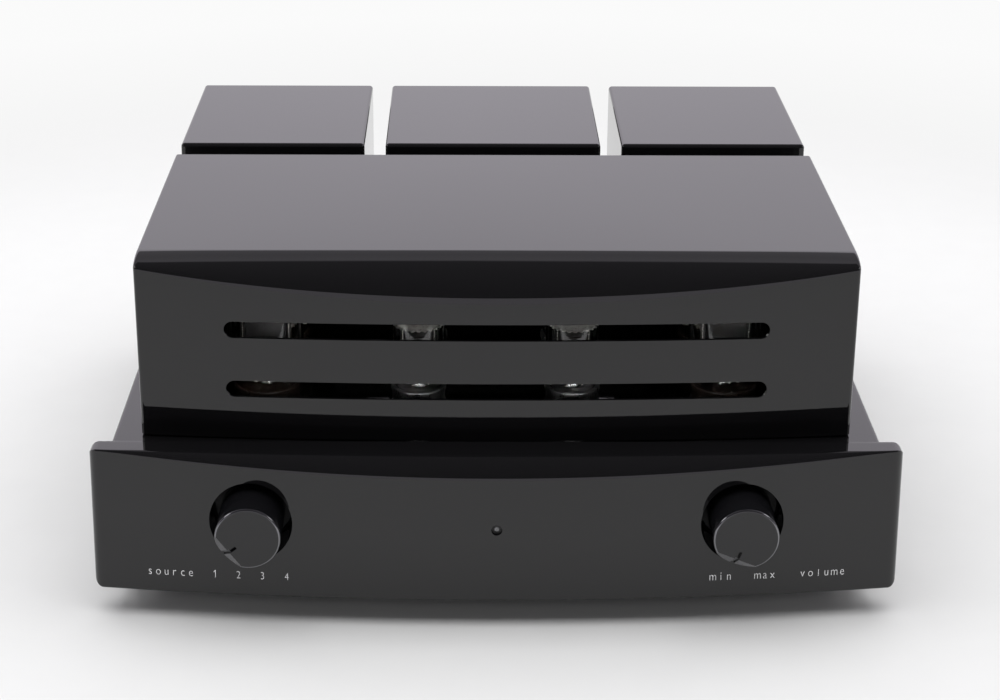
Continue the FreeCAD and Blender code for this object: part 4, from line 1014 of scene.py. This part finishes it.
POST_FINISHES = {"black": POST_BLACK, "red": POST_RED}
POSTS = ("black", "red", "red", "black", "red", "red")


def post_cap(index, colour):
    """A fluted speaker post cap with a domed end."""
    node = f"speaker_post_cap_{index}"
    low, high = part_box(node)
    x, _, z = middle(node)
    radius, bore, length = 7.6 * MM, 2.56 * MM, high[1] - low[1]
    flutes, depth = 12, 12 * MM
    profile = [(0, depth), (bore, depth), (bore, 0), (radius - 0.8 * MM, 0)]
    profile += [(radius, 0.8 * MM), (radius, 1.6 * MM), (radius - 0.3 * MM, 2 * MM)]
    profile += [(radius - 0.3 * MM, length - 2.4 * MM)]
    profile += arc(radius - 2 * MM, length - 1.7 * MM, 1.7 * MM, 20, 90, 5)
    profile += [(3 * MM, length), (2.6 * MM, length - 0.5 * MM), (0, length - 0.5 * MM)]
    bm = turned_set(profile, [Matrix()], 96)
    for vert in bm.verts:
        reach = math.hypot(vert.co.x, vert.co.y)
        if reach > radius - 1.2 * MM and 1.9 * MM < vert.co.z < length - 1 * MM:
            angle = math.atan2(vert.co.y, vert.co.x)
            dip = 0.7 * MM * (0.5 - 0.5 * math.cos(angle * flutes)) ** 3
            vert.co.x *= (reach - dip) / reach
            vert.co.y *= (reach - dip) / reach
    bm.transform(facing_rear(x, low[1], z))
    add_piece(f"post_cap_{index}_turned", bm, POST_FINISHES[colour], f"post_{colour}", (node,),
              body=f"post_cap_{index}", angle=40)


def post_insulators():
    """The posts' bases: stepped collars on the panel, red or black as their caps."""
    low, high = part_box("speaker_post_bases")
    radius, sleeve = 8 * MM, 4.15 * MM
    inside, length = low[1] - REAR, high[1] - REAR
    profile = [(2.5 * MM, inside), (2.5 * MM, length), (5 * MM, length)]
    profile += [(5.4 * MM, length - 0.4 * MM), (5.6 * MM, length - 1.6 * MM)]
    profile += arc(radius - 0.8 * MM, length - 2.6 * MM, 0.8 * MM, 90, 0, 4)
    profile += [(radius, 0), (sleeve, 0), (sleeve, inside)]
    _, _, z = middle("speaker_post_bases")
    places = grid_of("speaker_post_bases", 6, 1, radius)
    for colour, material in POST_FINISHES.items():
        frames = [facing_rear(x, REAR, z) for (x, _), post in zip(places, POSTS)
                  if post == colour]
        nodes = ("speaker_post_bases",) if colour == "black" else ()
        add_piece(f"post_bases_{colour}", turned_set(profile, frames, 64, True), material,
                  f"post_{colour}", nodes)


def post_threads():
    """Threaded studs: shallow ridges along the part that shows."""
    low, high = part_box("speaker_post_studs")
    _, _, z = middle("speaker_post_studs")
    radius, pitch = 2.5 * MM, 0.8 * MM
    root = radius - 0.3 * MM
    length = high[1] - low[1]
    profile = [(0, 0), (root, 0)]
    for i in range(int(length / pitch) - 1):
        profile += [(radius, pitch * (i + 0.5)), (root, pitch * (i + 1))]
    profile += [(root, length), (0, length)]
    frames = [facing_rear(x, low[1], z)
              for x, _ in grid_of("speaker_post_studs", 6, 1, radius)]
    add_piece("post_stud_set", turned_set(profile, frames, 24), GOLD, "gold_plate",
              ("speaker_post_studs",), angle=20)


def rear_lettering():
    """Plain words and numbers by the rear fittings."""
    bm = bmesh.new()
    low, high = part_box("input_jack_shells")
    height = 4.2 * MM
    for i, number in enumerate("1234"):
        x = low[0] + 4.2 * MM + (high[0] - low[0] - 8.4 * MM) * i / 3
        word_on_rear(bm, number, x, low[2] - 11.5 * MM, 0, height)
    word_on_rear(bm, "source", (low[0] + high[0]) / 2, low[2] - 18.5 * MM, 4 * MM, height)
    word_on_rear(bm, "L", high[0] + 8 * MM, high[2] - 5.6 * MM, 0, height)
    word_on_rear(bm, "R", high[0] + 8 * MM, low[2] + 2.6 * MM, 0, height)
    places = [middle(f"speaker_post_cap_{index}") for index in range(1, 7)]
    for (x, _, z), mark in zip(places, "048048"):
        word_on_rear(bm, mark, x, z - 16 * MM, 0, height)
    for word, first, last in (("speaker L", 0, 2), ("speaker R", 3, 5)):
        x = (places[first][0] + places[last][0]) / 2
        word_on_rear(bm, word, x, places[0][2] + 13 * MM, 3.8 * MM, height)
    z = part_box("power_switch_housing")[0][2] - 8 * MM
    word_on_rear(bm, "power", middle("power_switch_housing")[0], z, 4 * MM, height)
    add_piece("rear_lettering", bm, INK, "panel_paint")


def softened(node, name, material, body, slot, width):
    """A moulding: the CAD shape of a node with its hard edges rounded off."""
    bm = bmesh.new()
    bm.from_mesh(frame["nodes"][node].data)
    bmesh.ops.remove_doubles(bm, verts=bm.verts, dist=SMALL / 3)
    bmesh.ops.dissolve_limit(bm, angle_limit=math.radians(1), verts=bm.verts, edges=bm.edges)
    piece = make_object(name, bm)
    step = piece.modifiers.new("Edges", "BEVEL")
    step.width = width
    step.segments = 3
    step.limit_method = "ANGLE"
    step.angle_limit = math.radians(40)
    step.use_clamp_overlap = True
    settle(piece)
    dress(piece, material, slot, (node,), body, 40, True)


def mains_fittings():
    """The inlet, the fuse drawer below its socket, and the rocker switch."""
    softened("mains_inlet", "inlet_moulding", MOULDED, AMPLIFIER, "inlet_black", 0.5 * MM)
    softened("fuse_drawer", "fuse_drawer_moulding", MOULDED, "fuse_tray", "inlet_black", 0.3 * MM)
    softened("power_switch_housing", "switch_moulding", MOULDED, AMPLIFIER, "inlet_black",
             0.4 * MM)
    softened("power_rocker", "rocker_moulding", BAKELITE, "rocker", "rocker_black", 0.4 * MM)


# ---------------- CAD nodes that stay

KEPT = {
    LACQUER: ("chassis",),
    PANEL: ("bottom_plate", "rear_panel"),
    DARK: ("lamp_holder",),
    STEEL: ("source_shaft", "volume_shaft"),
    ZINC: ("shaft_nuts", "board_standoffs", "foot_screws", "faceplate_screws",
           "transformer_mount_plates", "corner_posts"),
    BLACK_STEEL: ("source_knob_screw", "volume_knob_screw", "cage_pins"),
    RUBBER: ("cage_grommets",),
    MOULDED: ("source_switch", "volume_potentiometer", "tube_sockets"),
    IRON: [f"{side}_transformer_core" for side in SIDES],
    TAPE: [f"{side}_transformer_winding" for side in SIDES],
    BOARD: ("main_board",),
    SLEEVE: ("supply_capacitors",),
    WHITE_RING: ("left_jack_rings",),
    RED_RING: ("right_jack_rings",),
    NICKEL: ("inlet_blades",),
    FUSE_GLASS: ("mains_fuse",),
}


def finish_kept_nodes():
    """Give every CAD node that shows its own procedural finish."""
    for material, names in KEPT.items():
        for name in names:
            node = frame["nodes"][name]
            for holder in node.material_slots:
                holder.link = "OBJECT"
                holder.material = material


# ---------------- stage, light and camera

TABLE_EDGE = -0.65
GLOW_START = 0.5
GLOW_FULL = 0.9


def floor_sheet(name, low, high, material):
    """One flat rectangle of the pale surface."""
    bm = bmesh.new()
    corners = [(low[0], low[1]), (high[0], low[1]), (high[0], high[1]), (low[0], high[1])]
    bm.faces.new([bm.verts.new((x, y, 0)) for x, y in corners])
    obj = make_object(name, bm)
    obj.data.materials.append(material)
    return obj


def pale_surface():
    """A matt pale surface that glows evenly further out, like a lit backdrop."""
    look = new_material("pale_table")
    reach = look.add("VectorMath", {0: look.place()}, operation="LENGTH").outputs["Value"]
    glow = look.add("MapRange", {"Value": reach, "From Min": GLOW_START, "From Max": GLOW_FULL},
                    interpolation_type="SMOOTHSTEP").outputs["Result"]
    lift = look.add("MapRange", {"Value": reach, "From Min": GLOW_START,
                                 "From Max": 1.2 * GLOW_FULL, "To Min": 0.87, "To Max": 0.96})
    fleck = look.spread(look.noise(40), 0.795, 0.805)
    dim = look.maths("MULTIPLY", fleck, look.maths("SUBTRACT", 1, glow))
    tone = look.add("CombineColor", {"Red": dim, "Green": dim, "Blue": dim})
    look.surface({"Base Color": tone.outputs["Color"], "Roughness": 0.9,
                  "Specular IOR Level": 0, "Emission Color": (1, 1, 1, 1),
                  "Emission Strength": look.maths("MULTIPLY", lift.outputs["Result"], glow)})
    return look.owner


def stage():
    """A pale table, and a pale floor beyond its front edge that the gloss doesn't show."""
    pale = pale_surface()
    floor_sheet("table", (-7, TABLE_EDGE), (7, 7), pale)
    apron = floor_sheet("floor_in_front", (-7, -7), (7, TABLE_EDGE), pale)
    apron.visible_glossy = False


STUDIO_TINT = (0.96, 0.918, 1)
BACKDROP = (0.93, 0.935, 0.935, 1)
DIFFUSE_SHARE = 0.35
# Brightness along half a turn: from straight behind, over the top, to straight in front.
SKY_LEVELS = ((0, 1), (0.1, 1.4), (0.13, 1.36), (0.145, 0.34), (0.25, 0.46), (0.36, 0.74),
              (0.385, 0.11), (1, 0.09))


def studio_world():
    """Bright behind and low down, darker overhead and in front; an even pale backdrop."""
    world = bpy.data.worlds.new("studio")
    bpy.context.scene.world = world
    look = Shading(world)
    look.nodes.clear()
    place = look.add("TexCoord", {}).outputs["Generated"]
    parts = look.add("SeparateXYZ", {"Vector": place}).outputs
    x, y, z = (parts[axis] for axis in "XYZ")
    aside = look.maths("MULTIPLY", look.maths("ABSOLUTE", x), 0.35)
    angle = look.maths("SUBTRACT", look.maths("ARCTAN2", z, y), aside)
    top = max(level for _, level in SKY_LEVELS)
    sky = look.tones(look.maths("DIVIDE", angle, math.pi),
                     [(position, [channel * level / top for channel in STUDIO_TINT])
                      for position, level in SKY_LEVELS])
    path = look.add("LightPath", {})
    fill = look.maths("MULTIPLY", path.outputs["Is Diffuse Ray"], 1 - DIFFUSE_SHARE)
    strength = look.maths("MULTIPLY", look.maths("SUBTRACT", 1, fill), top)
    shine = look.add("Background", {"Color": sky, "Strength": strength})
    seen = look.add("Background", {"Color": BACKDROP})
    mix = look.add("MixShader", {"Fac": path.outputs["Is Camera Ray"],
                                 1: shine.outputs["Background"], 2: seen.outputs["Background"]})
    look.add("OutputWorld", {"Surface": mix.outputs["Shader"]})


def soft_box(name, place, aim, size, power, in_gloss):
    """One large area light, which the gloss shows only where asked."""
    data = bpy.data.lights.new(name, "AREA")
    data.shape = "RECTANGLE"
    data.size, data.size_y = size
    data.energy = power
    obj = bpy.data.objects.new(name, data)
    bpy.context.collection.objects.link(obj)
    obj.location = place
    obj.rotation_euler = (Vector(aim) - Vector(place)).to_track_quat("-Z", "Y").to_euler()
    obj.visible_glossy = in_gloss
    return obj


def lights():
    """Soft boxes overhead, in front and at both sides, and a low one for the tubes alone."""
    soft_box("overhead", (0, 0.15, 2), (0, 0, 0), (3.6, 2.8), 72, False)
    soft_box("front_fill", (0, -2.2, 1), (0, 0, 0), (2.4, 1.2), 7, False)
    soft_box("side_left", (-1.6, -0.3, 1), (0, 0, 0.1), (1, 0.5), 4.5, True)
    soft_box("side_right", (1.6, -0.3, 1), (0, 0, 0.1), (1, 0.5), 3.5, True)
    low = soft_box("tube_light", (0, -1.2, 0.34), (0, -0.1, 0.14), (1.8, 0.5), 26, True)
    low.light_linking.receiver_collection = TUBE_PIECES


SENSOR = 36
FOCAL_LENGTH = 2.0985 * SENSOR
LENS_SHIFT = (0.0198, -0.115)
CAMERA_PLACE = (-0.0172, -1.1695, 0.5866)
PITCH, YAW, ROLL = 0.3572, 0.0079, -0.0049


def camera():
    """The view from the front and above, with a small shift of the lens."""
    data = bpy.data.cameras.new("camera")
    data.sensor_width = SENSOR
    data.lens = FOCAL_LENGTH
    data.shift_x, data.shift_y = LENS_SHIFT
    data.clip_end = 50
    obj = bpy.data.objects.new("camera", data)
    bpy.context.collection.objects.link(obj)
    turn = (Matrix.Rotation(-YAW, 4, "Z") @ Matrix.Rotation(math.pi / 2 - PITCH, 4, "X")
            @ Matrix.Rotation(-ROLL, 4, "Z"))
    obj.matrix_world = Matrix.Translation(CAMERA_PLACE) @ turn
    bpy.context.scene.camera = obj
    bpy.context.scene.view_settings.view_transform = "Standard"


# ---------------- the whole scene

faceplate()
tube_cage()
for word in SIDES:
    transformer_cover(word)
recess_shade_rings()
knob("source_turn", "source_dial", "source_knob", 53, "source_knob_turned")
knob("volume_turn", "volume_dial", "volume_knob", 22, "volume_knob_turned")
lamp()
front_lettering()
for tube_kind in TUBES:
    tubes(tube_kind)
socket_rivets()
feet()
underside_screws()
panel_screws()
input_jacks()
for number, colour in enumerate(POSTS, start=1):
    post_cap(number, colour)
post_insulators()
post_threads()
mains_fittings()
rear_lettering()
finish_kept_nodes()
stage()
studio_world()
lights()
camera()
